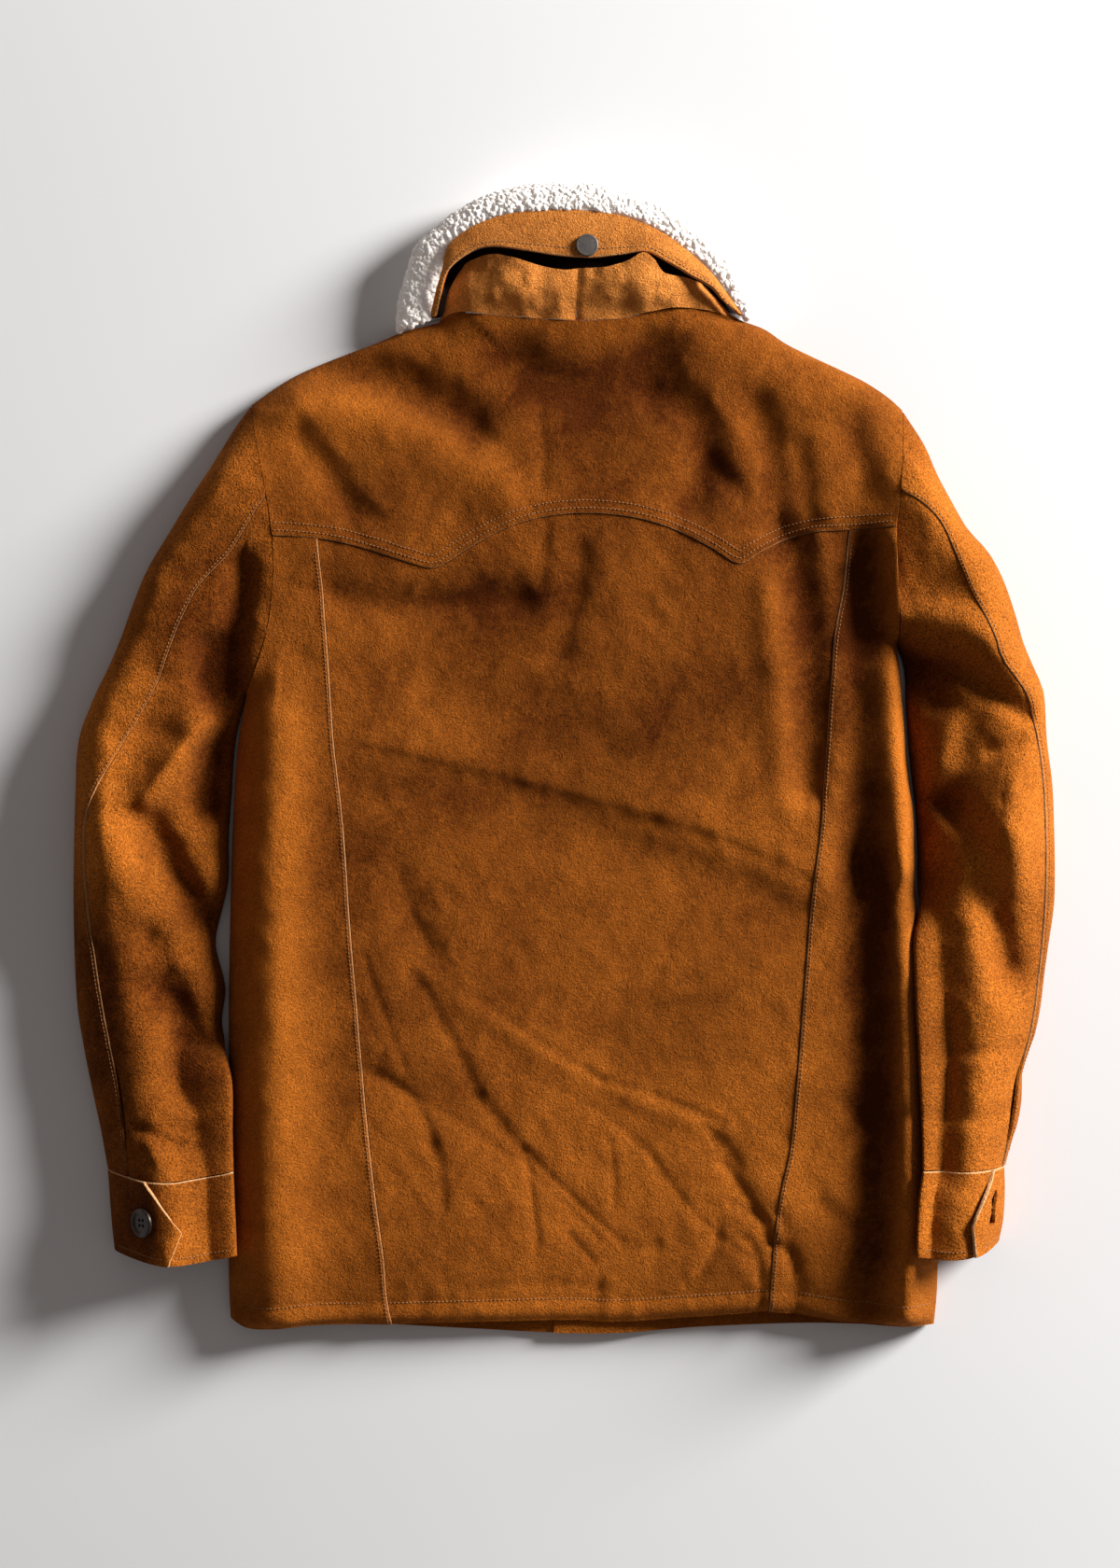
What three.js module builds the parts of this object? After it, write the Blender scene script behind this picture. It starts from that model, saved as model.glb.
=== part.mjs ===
// Suede jacket with a shearling collar, laid face down with its back up, in millimetres.
// +Y runs from hem to collar, +Z away from the surface it lies on.
import * as THREE from "three";

// Driving dimensions
const WALL = 2.2; // suede and lining of one panel
const SEAM = 0.3; // gap left at each seam
const LAP = 1.2; // rise of a panel that laps over its neighbour
const EDGE_Z = 5.0; // height of the side, shoulder and sleeve outlines above the floor
const LIP = 8; // radius of the turned-up edge of the underside
const ROLL = 42; // width over which the top side rounds down to an outline
const ROLL_POWER = 2.2;
const LOFT = 30; // general height of the top side
const PLACKET = 15; // half width of the front overlap
const BUTTON_R = 10.5;
const BUTTON_T = 3.0;
const SNAP_R = 8;
const BAND_WALL = 2.6;

// Outlines and seams of the laid jacket, rows of x, y
const OUTLINE = {
  shoulderL: [[-90.2, 317.7], [-117.8, 310.3], [-137.3, 302.2], [-164.2, 292.1], [-191.1, 280.6],
    [-207.3, 271.2], [-226.1, 257.8]],
  shoulderR: [[129.2, 319], [145.4, 312.9], [160.2, 302.9], [179, 293.4], [199.2, 284],
    [219.4, 273.9], [236.2, 262.5], [245, 254.4]],
  neck: [[-90.2, 317.7], [-80.1, 322.4], [-58.6, 321], [-18.8, 317.7], [8.7, 316.3], [40.4, 317.7],
    [59.9, 321.7], [80.1, 325.1], [99.6, 324.4], [129.2, 319]],
  frontNeck: [[-90.2, 317.7], [-72, 288], [-45, 262], [-10, 246], [20, 243], [52, 250], [85, 268],
    [110, 292], [129.2, 319]],
  standL: [[-90.2, 317.7], [-86.5, 326], [-84.5, 336], [-79.8, 346], [-72, 358]],
  standR: [[129.2, 319], [121, 323.5], [113, 331.5], [101, 343.5]],
  armUpperL: [[-226.1, 257.8], [-222.8, 238.9], [-217.4, 212], [-212.7, 185.1], [-209.3, 161.5]],
  armLowerL: [[-209.3, 161.5], [-208.6, 144.7], [-210, 117.8], [-214, 90.9], [-221.4, 67.3],
    [-230.2, 47.1]],
  armUpperR: [[245, 254.4], [244.3, 232.2], [242.3, 207.3], [240.3, 181.7], [238.2, 167.6]],
  armLowerR: [[238.2, 167.6], [238.2, 148.7], [239.6, 119.8], [240.9, 101], [240.9, 84.1]],
  sideL: [[-230.2, 47.1], [-235.6, 16.8], [-238.9, -23.6], [-240.9, -77.4], [-242.5, -144.7],
    [-243, -191.8], [-241.6, -259], [-242.3, -326], [-243, -360], [-242.3, -390.3],
    [-241.6, -403.1]],
  sideR: [[240.9, 84.1], [243, 68.6], [245.6, 37], [248.3, 4], [253.4, -39], [254.4, -63.9],
    [254.6, -90.9], [257.8, -127.2], [262.5, -164.9], [265.8, -212], [268.5, -265.8],
    [270.5, -319.7], [271.2, -362.1], [270.5, -387], [268.5, -407.8]],
  outL: [[-226.1, 257.8], [-237.6, 242.3], [-255.1, 213.3], [-269.9, 191.1], [-284.7, 166.9],
    [-302.2, 137.3], [-312.3, 112.4], [-321, 88.2], [-329.8, 67.3], [-338.5, 49.8],
    [-344.6, 35], [-350, 20.9], [-352.7, 4], [-353.3, -18.8], [-354, -57.9], [-354.7, -88.8],
    [-354.7, -119.1], [-354, -150.1], [-352, -181], [-349.3, -197.9], [-344.6, -223.4],
    [-339.2, -249], [-334.5, -271.2], [-330.4, -294.1]],
  inL: [[-230.2, 47.1], [-237.6, 16.8], [-240.9, -23.6], [-243, -57.2], [-243.6, -88.8],
    [-251.7, -124.5], [-252.4, -134.6], [-246.5, -158.2], [-245.4, -168.2], [-248, -188.4],
    [-245, -205], [-242, -215], [-238.2, -229.5], [-237.6, -268.5], [-236.9, -294.1]],
  outR: [[245, 254.4], [261.8, 228.1], [270.5, 207.3], [282, 185.7], [292.1, 168.2],
    [306.9, 152.1], [315.6, 137.3], [321.7, 122.5], [327.8, 103.6], [333.1, 84.8],
    [339.2, 70], [346.6, 52.5], [347.9, 43.7], [349.3, 14.8], [353.3, -16.2], [354.7, -49.8],
    [355.3, -80.8], [354.7, -104.3], [350.6, -131.9], [347.3, -154.8], [344.6, -178.3],
    [340.5, -197.9], [333.8, -215.4], [331.1, -225.5], [331.1, -243], [328.4, -260.5],
    [322.4, -278.6], [319, -292]],
  inR: [[240.9, 84.1], [246.4, 68.6], [248.2, 37], [250.6, 4], [255.2, -39], [256.3, -63.9],
    [256.5, -90.9], [256.8, -104], [253.8, -116], [250.7, -126], [250.4, -150.1],
    [251, -178.3], [253, -212], [253.7, -230.2], [255.1, -259.1], [255.7, -292]],
  cuffOutL: [[-330.4, -294.1], [-329.4, -307], [-327.5, -333], [-325.4, -353]],
  cuffInL: [[-236.9, -294.1], [-236, -315], [-235, -335], [-234.2, -354.7]],
  cuffOutR: [[319, -292], [319.5, -310], [318.3, -332], [315.5, -346]],
  cuffInR: [[255.7, -292], [252.5, -315], [251.5, -335], [251, -353.3]],
  seamL: [[-212.7, 188.4], [-222.8, 176.3], [-229.5, 164.9], [-238.2, 151.4], [-250.4, 138],
    [-261.1, 126.5], [-269.9, 111], [-278.6, 90.9], [-284.7, 74], [-289.4, 60.6],
    [-295.4, 47.1], [-304.9, 30.3], [-312.9, 16.8], [-322.4, 0], [-332.5, -18.2],
    [-339.9, -35.7], [-341.9, -50.5], [-341.9, -77.4], [-339.9, -111], [-335.2, -144.7],
    [-329.8, -178.3], [-323, -212], [-317.7, -238.9], [-314.3, -265.8], [-312.3, -294.1]],
  seamR: [[242.1, 198.5], [256.4, 184.4], [269.9, 170.3], [280, 148.1], [290.1, 123.2],
    [301.5, 101], [308.2, 84.1], [310.9, 74], [320.3, 60.6], [330.4, 47.1], [336.5, 26.9],
    [340.5, 10.1], [343.9, -16.8], [345.2, -50.5], [345.9, -90.9], [344.6, -124.5],
    [341.2, -158.2], [336.5, -191.8], [329.8, -218.7], [325.7, -230.2], [321.7, -259.1],
    [316.3, -292]],
  yokeL: [[-209.3, 161.5], [-195, 161], [-177, 159.5]],
  yokeM: [[-177, 159.5], [-164.2, 157.5], [-138, 150.8], [-112.4, 142.7], [-92.9, 138.6],
    [-70, 151.4], [-52.5, 161.5], [-35, 169.6], [-18.2, 174.3], [-0.7, 177], [20.9, 177.7],
    [47.8, 175], [69.3, 169.6], [87.5, 162.2], [105.7, 152.8], [126.5, 141.3],
    [141.3, 149.4], [159.5, 158.8], [177.7, 163.5], [205.3, 166]],
  yokeR: [[205.3, 166], [220, 167], [238.2, 167.6]],
  princessL: [[-177, 159.5], [-174.3, 131.2], [-169.6, 77.4], [-164.9, 10.1], [-158.2, -50.5],
    [-154.1, -111], [-148.7, -175], [-144, -232.2], [-139.3, -279.3], [-134.6, -319.7],
    [-129.2, -360.1], [-127.2, -389.7], [-123.8, -407.2]],
  princessR: [[205.3, 166], [200.6, 121.8], [195.2, 94.2], [191.8, 51.1], [189.1, 8.7],
    [184.4, -50.5], [179, -90.9], [175, -136.6], [171.6, -179.7], [166.9, -236.9],
    [162.2, -282.7], [156.1, -309.6], [151.4, -345.9], [148.8, -385], [148.1, -397.7]],
  hemL: [[-241.6, -403.1], [-230.2, -409.2], [-211.3, -409.9], [-184, -407.6],
    [-144.7, -407.2], [-123.8, -407.2]],
  hemM: [[-123.8, -407.2], [-101, -406.5], [-43.1, -405.1], [10.8, -404.5], [33.7, -405.8],
    [87.5, -402.5], [132.6, -399.1], [148.1, -397.7]],
  hemR: [[148.1, -397.7], [168.2, -399.8], [204.6, -405.8], [239.6, -407.8], [268.5, -407.8]],
  hemFront: [[-241.6, -403.1], [-184.4, -405.5], [-123.8, -409], [-70, -411.9],
    [-2.7, -414.6], [39, -414.6], [105, -410.5], [177.7, -408], [230, -409], [268.5, -407.8]],
  standTopL: [[-72, 358], [-52.5, 362.7], [-35, 359.4], [-18.8, 354.7], [0.7, 351.3],
    [10.8, 352.7]],
  standTopR: [[10.8, 352.7], [30.3, 353.3], [46.4, 358], [57.2, 363.4], [63.9, 359.4],
    [72, 349.3], [87.5, 346.6], [101, 343.5]],
};

// Folds and swells of the top side, rows of
// pieces (A all, B body, L left sleeve, R right sleeve), x and y of the start, middle and end
// of the crest, reach to its left, reach to its right, rise (a valley when below 0)
const FOLDS = [
  ["B", -206, 25, -209, -130, -206, -400, 26, 30, 11],
  ["B", 236, 55, 241, -130, 241, -395, 30, 26, 13],
  ["B", -60, 60, 10, -120, 30, -330, 90, 90, -7],
  ["B", -235, -418, 10, -418, 265, -418, 46, 46, -13],
  ["A", -120, 275, 20, 235, 170, 275, 60, 60, -4],
  ["A", -262, 205, -338, 60, -326, -70, 34, 30, 17],
  ["L", -326, -70, -322, -190, -300, -350, 32, 44, 13],
  ["A", 268, 190, 322, 70, 318, -60, 30, 34, 17],
  ["R", 310, -60, 298, -170, 286, -350, 34, 30, 21],
  ["A", -162, 287, -116, 272, -69, 246, 15, 17, -12],
  ["A", -190, 252, -110, 237, -44, 196, 16, 24, 6],
  ["A", -190, 234, -170, 210, -152, 180, 13, 13, -5],
  ["A", -36, 290, 10, 268, 64, 292, 20, 26, -9],
  ["A", 66, 265, 100, 236, 93, 186, 15, 17, -7],
  ["A", 138, 256, 150, 220, 156, 172, 14, 16, -7],
  ["A", 208, 240, 214, 214, 217, 194, 12, 12, -4],
  ["B", -150, 12, 15, -22, 178, -88, 22, 20, 5],
  ["B", -150, -8, 15, -44, 170, -112, 14, 22, -4],
  ["B", -170, 120, -120, 112, -30, 118, 14, 18, -5],
  ["B", 164, 155, 176, 86, 176, -18, 14, 18, -8],
  ["B", 147, 120, 154, 30, 160, -30, 13, 12, 4],
  ["B", -69, -168, 20, -218, 118, -262, 14, 16, -3],
  ["B", -135, -226, -60, -262, 10, -325, 14, 16, -3],
  ["B", -119, -82, -110, -110, -98, -134, 12, 12, -3],
  ["B", 106, -273, 132, -315, 146, -350, 13, 13, -8],
  ["B", 154, -350, 168, -365, 167, -398, 12, 12, -4],
  ["L", -252, 78, -250, 20, -256, -30, 14, 14, -16],
  ["L", -258, 27, -280, 4, -299, -30, 14, 14, 10],
  ["L", -299, -42, -284, -74, -258, -112, 13, 14, -14],
  ["L", -292, -164, -280, -190, -272, -232, 14, 13, -11],
  ["R", 244, 101, 290, 92, 349, 42, 15, 17, 11],
  ["R", 246, 62, 262, 58, 272, 44, 14, 14, -16],
  ["R", 280, 50, 274, 20, 258, -34, 12, 12, 8],
  ["R", 256, -36, 290, -50, 318, -150, 16, 16, -15],
  ["R", 270, -196, 268, -250, 268, -290, 14, 14, -8],
];

// Collar fleece from its left end to its right one, rows of
// outer x, y, inner x, y, height of the top
const FLEECE = [
  [-119.2, 312.4, -92.6, 319.6, 20], [-118.4, 328.4, -90.8, 329, 26],
  [-112, 352, -87, 344, 30], [-105.7, 370.2, -80, 357, 32], [-92.2, 382.9, -66, 367, 33],
  [-72, 397.7, -52, 371, 34], [-48.5, 408.5, -38, 370, 34], [-18.8, 413.9, -16, 366, 34],
  [12.8, 414.6, 12, 364, 34], [40.4, 409.9, 38, 368, 34], [70, 399.8, 60, 371, 34],
  [95.6, 384.3, 78, 362, 33], [113.7, 366.1, 98, 353, 31], [125.2, 348.6, 111, 344, 28],
  [131.9, 330, 120.5, 331.5, 24], [132.4, 321.6, 127.4, 323.4, 19],
];

// Collar band, rows of outer x, y, z and free-edge x, y, z
const BAND = [
  [-96.2, 319.6, 20.6, -91.3, 320.4, 23], [-92.9, 334.5, 27.6, -88.2, 334.5, 31],
  [-87.5, 352.7, 31.1, -84.1, 349.3, 34], [-83.5, 368.8, 32.6, -78.1, 356.7, 37],
  [-72, 378.9, 33.6, -62.6, 366.1, 39], [-58.6, 386.3, 34.1, -48.5, 368.1, 40],
  [-35, 393, 34.4, -28.9, 365.4, 40.4], [-2.7, 395.1, 34.6, -2.7, 361.4, 40.6],
  [20, 393.8, 34.6, 20.9, 360.1, 40.6], [42, 390.5, 34.6, 40.4, 362.1, 40.6],
  [60, 384, 34.4, 59.9, 364.1, 40.4], [76, 375.5, 34, 70, 359.4, 40],
  [93, 362.5, 32.6, 91.5, 347.4, 39], [106, 350.5, 31.1, 107.7, 338.5, 36],
  [117.1, 336.5, 27.1, 115.1, 330, 31], [128.6, 321.6, 20.6, 124, 322.6, 23],
];

// Pointed cuff tabs, rows of share of the cuff's depth, share of its width from the outer side
const TAB_L = [[0, 0.33], [0.05, 0.35], [0.6, 0.61], [1, 0.49]];
const TAB_R = [[0, 0.12], [0.12, 0.16], [0.62, 0.37], [1, 0.3]];

const FRONT_BUTTONS = [190, 80, -30, -140, -250]; // y of each front button
const PLACKET_X = 8; // middle of the front overlap

const clamp = (v, lo = 0, hi = 1) => Math.min(hi, Math.max(lo, v));
const mix = (a, b, t) => a + (b - a) * t;
const ease = (t) => clamp(t) ** 2 * (3 - 2 * clamp(t));

// Even points along the smooth line through rows, with any number of columns up to three.
function smoothLine(rows, spans) {
  const points = rows.map(([x, y, z]) => new THREE.Vector3(x, y, z ?? 0));
  const curve = new THREE.CatmullRomCurve3(points, false, "centripetal");
  curve.arcLengthDivisions = 400;
  return curve.getSpacedPoints(spans);
}

const LINE = {};
for (const name of Object.keys(OUTLINE)) {
  LINE[name] = smoothLine(OUTLINE[name], name === "yokeM" ? 240 : 60);
}
const chain = (...names) => names.flatMap((name, i) => (i ? LINE[name].slice(1) : LINE[name]));

// Point at share t of a line's length.
function along(line, t) {
  const at = clamp(t) * (line.length - 1);
  const i = Math.min(line.length - 2, Math.floor(at));
  return line[i].clone().lerp(line[i + 1], at - i);
}

// Same as along, for a chain whose lines have uneven steps.
function evened(line, spans = 1200) {
  const sums = [0];
  line.slice(1).forEach((p, i) => sums.push(sums[i] + p.distanceTo(line[i])));
  let i = 0;
  return Array.from({ length: spans + 1 }, (_, k) => {
    const want = (sums.at(-1) * k) / spans;
    while (i < line.length - 2 && sums[i + 1] < want) i += 1;
    return line[i].clone().lerp(line[i + 1], clamp((want - sums[i]) / (sums[i + 1] - sums[i])));
  });
}

// Distance from x, y to a line, and the side it is on: over 0 to the left of its direction.
function offLine(line, x, y) {
  let best = Infinity;
  let side = 0;
  for (let i = 0; i + 1 < line.length; i += 1) {
    const ax = line[i].x;
    const ay = line[i].y;
    const dx = line[i + 1].x - ax;
    const dy = line[i + 1].y - ay;
    const t = clamp(((x - ax) * dx + (y - ay) * dy) / (dx * dx + dy * dy));
    const gap = Math.hypot(x - ax - t * dx, y - ay - t * dy);
    if (gap < best) {
      best = gap;
      side = dx * (y - ay) - dy * (x - ax);
    }
  }
  return [best, side];
}
const distance = (line, x, y) => offLine(line, x, y)[0];

// Distance inside an outline whose jacket side is to its left (way 1) or right (way -1): just
// outside it the distance is below 0.
function insideGap([line, way], x, y) {
  const [gap, side] = offLine(line, x, y);
  return gap < 0.5 && side * way < 0 ? -gap : gap;
}

// Value at key in a table of key, value rows with rising or falling keys.
function lookUp(rows, key) {
  const way = Math.sign(rows.at(-1)[0] - rows[0][0]);
  let i = 0;
  while (i < rows.length - 2 && way * (key - rows[i + 1][0]) > 0) i += 1;
  const [k0, v0] = rows[i];
  const [k1, v1] = rows[i + 1];
  return mix(v0, v1, clamp((key - k0) / (k1 - k0)));
}

const FOLD_LINES = FOLDS.map(([pieces, x1, y1, xm, ym, x2, y2, left, right, rise]) => ({
  pieces, left, right, rise,
  line: Array.from({ length: 9 }, (_, k) => {
    const t = k / 8;
    const s = 1 - t;
    return new THREE.Vector3(s * s * x1 + 2 * s * t * (2 * xm - (x1 + x2) / 2) + t * t * x2,
      s * s * y1 + 2 * s * t * (2 * ym - (y1 + y2) / 2) + t * t * y2, 0);
  }),
}));

// Height that the top side would have without its rounded edges, for pieces "B", "L" or "R".
function loft(pieces, x, y) {
  let z = LOFT;
  for (const fold of FOLD_LINES) {
    if (fold.pieces !== "A" && fold.pieces !== pieces) continue;
    const [gap, side] = offLine(fold.line, x, y);
    const reach = side > 0 ? fold.left : fold.right;
    if (gap < 3 * reach) z += fold.rise * Math.exp(-((gap / reach) ** 2));
  }
  return z;
}

// Share of the full height at distance s inside an outline, a little below 0 outside it.
const roll = (s, reach = ROLL) => Math.min(0, 0.15 * s)
  + (1 - (1 - clamp(s / reach)) ** ROLL_POWER) ** (1 / ROLL_POWER);

const OUTER = {
  L: [[chain("shoulderL", "outL", "cuffOutL"), 1], [LINE.standL, -1]],
  R: [[chain("shoulderR", "outR", "cuffOutR"), -1], [LINE.standR, 1]],
};
const SLEEVE_IN = { L: [chain("inL", "cuffInL"), -1], R: [chain("inR", "cuffInR"), 1] };
const outerGap = (x, y) => Math.min(...[...OUTER.L, ...OUTER.R].map((o) => insideGap(o, x, y)));
const SIDES = [[LINE.sideL, 1], [LINE.sideR, -1]];
const sideGap = (x, y) => Math.min(...SIDES.map((line) => insideGap(line, x, y)));
const RIMS = [...SIDES, SLEEVE_IN.L, SLEEVE_IN.R];

// Height of the back's outer face.
function backTop(x, y) {
  const side = sideGap(x, y);
  return EDGE_Z + (loft("B", x, y) - EDGE_Z) * roll(outerGap(x, y)) * roll(side);
}

// Rise of a sleeve's underside where it lies over the side of the body, with its reach in y.
const OVER = { L: [LINE.sideL, 1, -190, -208], R: [LINE.sideR, -1, -85, -108] };
function overBody(hand, x, y) {
  const [line, way, from, full] = OVER[hand];
  const edge = lookUp(line.map((p) => [p.y, p.x]), y);
  const inside = way * (x - edge) + 2.5;
  const gate = ease((y - from) / (full - from));
  const body = loft("B", edge + way * 22, y) + 1.5;
  const up = 5 * ease(1 + inside / 3.5) + (inside > 0 ? (body - 5) * roll(inside) : 0);
  return gate * up;
}

// Height of a sleeve's outline: raised on the inner side where it lies over the body.
function sleeveEdge(hand, x, y, outer, inner) {
  const [line] = SLEEVE_IN[hand];
  const edge = lookUp(line.map((p) => [p.y, p.x]), y);
  const raised = overBody(hand, edge, y) + EDGE_Z;
  return mix(EDGE_Z, raised, (Math.abs(outer) / (Math.abs(outer) + Math.abs(inner) + 1e-6)) ** 2);
}

// Height of a sleeve's outer face on the top side.
function sleeveTop(hand, x, y) {
  const outer = outerGap(x, y);
  const inner = insideGap(SLEEVE_IN[hand], x, y);
  const low = sleeveEdge(hand, x, y, outer, inner);
  const full = Math.max(loft(hand, x, y), low + 12);
  return low + (full - low) * roll(outer) * roll(inner, 36);
}

// Share of the edge height that the underside has at distance s inside an outline.
const lip = (s) => 1 - Math.min(0, s) - Math.sqrt(1 - (1 - clamp(s / LIP)) ** 2);

// Height of a sleeve's outer face on the underside.
function sleeveBottom(hand, x, y) {
  const outer = outerGap(x, y);
  const inner = insideGap(SLEEVE_IN[hand], x, y);
  const high = sleeveEdge(hand, x, y, outer, inner);
  const low = overBody(hand, x, y);
  return low + (high - low) * lip(Math.min(outer, inner));
}

// Height of the fronts' outer face: flat, turned up at the outlines, raised over the buttons.
function frontBottom(x, y) {
  const side = sideGap(x, y);
  const raised = (BUTTON_T + SEAM) * ease((70 - Math.abs(x - PLACKET_X)) / 50);
  return raised + (EDGE_Z - SEAM) * lip(Math.min(side, outerGap(x, y)));
}

// Point and outward normal on a height function; way is 1 for a top side and -1 for an underside.
// lift(x, y) moves the point out along the normal. The slope is taken over a few millimetres, and
// over less near the outlines, where the faces turn down steeply.
function onSurface(height, x, y, way, lift = () => 0) {
  const rim = Math.min(outerGap(x, y), ...RIMS.map((line) => insideGap(line, x, y)));
  const e = clamp(rim / 3, 0.001, 4);
  const dx = (height(x + e, y) - height(x - e, y)) / (2 * e);
  const dy = (height(x, y + e) - height(x, y - e)) / (2 * e);
  const normal = new THREE.Vector3(-dx, -dy, 1).normalize().multiplyScalar(way);
  const point = new THREE.Vector3(x, y, height(x, y)).addScaledVector(normal, lift(x, y));
  return { point, normal };
}

// Lift of a panel that laps over its neighbour at the seam, fading away from it.
const lapAt = (seam, reach) => (x, y) => LAP * Math.exp(-((distance(seam, x, y) / reach) ** 2));

// Closed mesh of the triangles of corner indices.
function solid(points, triangles) {
  const geometry = new THREE.BufferGeometry().setFromPoints(points);
  geometry.setIndex(triangles.flat());
  geometry.computeVertexNormals();
  return geometry;
}

// Wall of even thickness behind a grid of { point, normal }; has(i, j) tells which cells exist.
function wall(grid, thickness, has = () => true) {
  const rows = grid.length;
  const columns = grid[0].length;
  const outer = grid.flat().map((g) => g.point);
  const inner = grid.flat().map((g) => g.point.clone().addScaledVector(g.normal, -thickness));
  const triangles = [];
  const edges = new Map();
  const quad = (a, b, c, d) => triangles.push([a, b, c], [a, c, d]);
  const shift = outer.length;
  for (let i = 0; i + 1 < rows; i += 1) {
    for (let j = 0; j + 1 < columns; j += 1) {
      if (!has(i, j)) continue;
      const at = [i * columns + j, i * columns + j + 1, (i + 1) * columns + j + 1,
        (i + 1) * columns + j];
      quad(...at);
      quad(...[at[0], at[3], at[2], at[1]].map((k) => k + shift));
      at.forEach((a, k) => {
        const b = at[(k + 1) % 4];
        if (edges.has(b + "," + a)) edges.delete(b + "," + a);
        else edges.set(a + "," + b, [a, b]);
      });
    }
  }
  for (const [a, b] of edges.values()) quad(b, a, a + shift, b + shift);
  const used = [...new Set(triangles.flat())].sort((a, b) => a - b);
  const place = new Map(used.map((k, n) => [k, n]));
  const points = [...outer, ...inner];
  return solid(used.map((k) => points[k]), triangles.map((t) => t.map((k) => place.get(k))));
}

// Line moved sideways in plan, over 0 to the left of its direction.
function moved(line, by) {
  return line.map((p, i) => {
    const a = line[Math.max(0, i - 1)];
    const b = line[Math.min(line.length - 1, i + 1)];
    const n = new THREE.Vector3(a.y - b.y, b.x - a.x, 0).normalize();
    return p.clone().addScaledVector(n, by);
  });
}

// Grid between four lines: top and bottom run in u, left and right in v, meeting at the corners.
// The gaps pull the edges in from those lines.
function patch([top, bottom, left, right], gaps, us, vs, height, way, lift) {
  const ways = [-1, 1, 1, -1];
  const pulls = [top, bottom, left, right].map((line, i) => {
    const shifted = moved(line, ways[i] * gaps[i]);
    return (t) => along(shifted, t).sub(along(line, t));
  });
  return vs.map((v) => us.map((u) => {
    const t = along(top, u);
    const b = along(bottom, u);
    const l = along(left, v);
    const r = along(right, v);
    const corner = along(top, 0).lerp(along(top, 1), u)
      .lerp(along(bottom, 0).lerp(along(bottom, 1), u), v);
    const p = t.lerp(b, v).add(l.lerp(r, u)).sub(corner);
    p.addScaledVector(pulls[0](u), 1 - v).addScaledVector(pulls[1](u), v);
    p.addScaledVector(pulls[2](v), 1 - u).addScaledVector(pulls[3](v), u);
    return onSurface(height, p.x, p.y, way, lift);
  }));
}

const steps = (n, power = 1, from = 0, to = 1) =>
  Array.from({ length: n + 1 }, (_, k) => from + (to - from) * (k / n) ** power);
const flipped = (grid) => grid.map((row) => [...row].reverse());

// Materials
const SUEDE = new THREE.MeshStandardMaterial({ color: 0xa8641f, roughness: 0.95 });
const SLEEVE_SUEDE = new THREE.MeshStandardMaterial({ color: 0xa25f1e, roughness: 0.97 });
const COLLAR_SUEDE = new THREE.MeshStandardMaterial({ color: 0xb36c30, roughness: 0.95 });
const FLEECE_WHITE = new THREE.MeshStandardMaterial({ color: 0xeee5d8, roughness: 1 });
const HORN = new THREE.MeshStandardMaterial({ color: 0x2a1d16, roughness: 0.35 });
const GUNMETAL = new THREE.MeshStandardMaterial({ color: 0x6f6a66, roughness: 0.35, metalness: 0.9 });

const jacket = new THREE.Group();
jacket.name = "suede_jacket";
function add(name, geometry, material) {
  const mesh = new THREE.Mesh(geometry, material);
  mesh.name = name;
  jacket.add(mesh);
  return mesh;
}

// Rows and columns of the panels: neighbours share their points along a seam
const EDGE = 0.003; // how far inside an outline its last points lie
const YOKE_ROWS = [0, 0.025, 0.07, 0.14, 0.24, 0.37, 0.52, 0.7, 0.85, 1];
const SEAM_ROW = 0.7; // share of the yoke's armhole edge at which the sleeve seam starts
const SIDE_COLUMNS = steps(9, 1.6);
const lengthOf = (line) => line.slice(1).reduce((sum, p, i) => sum + p.distanceTo(line[i]), 0);
const shareAt = (line, x) => line.findIndex((p) => p.x >= x) / (line.length - 1);
const [leftPoint, rightPoint] = [-92.9, 126.5].map((x) => shareAt(LINE.yokeM, x));
const CENTRE_COLUMNS = [...steps(5, 1, 0, leftPoint), ...steps(9, 1, leftPoint, rightPoint).slice(1),
  ...steps(4, 1, rightPoint, 1).slice(1)];
const yokeHem = evened(chain("yokeL", "yokeM", "yokeR"));
const yokeLengths = ["yokeL", "yokeM", "yokeR"].map((name) => lengthOf(LINE[name]));
const yokeLength = yokeLengths.reduce((a, b) => a + b);
const mirrored = (shares) => shares.map((u) => 1 - u).reverse();
const YOKE_COLUMNS = [
  ...SIDE_COLUMNS.map((u) => (u * yokeLengths[0]) / yokeLength),
  ...CENTRE_COLUMNS.slice(1).map((u) => (yokeLengths[0] + u * yokeLengths[1]) / yokeLength),
  ...mirrored(SIDE_COLUMNS).slice(1).map((u) => 1 - ((1 - u) * yokeLengths[2]) / yokeLength),
];
// Shares of the chain of the lower armhole and the side seam, with a row at the armpit
const sideRows = (hand) => {
  const arm = lengthOf(LINE[`armLower${hand}`]);
  const pit = arm / (arm + lengthOf(LINE[`side${hand}`]));
  return [...steps(5, 1, 0, pit), ...steps(19, 1, pit, 1).slice(1)];
};

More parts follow.
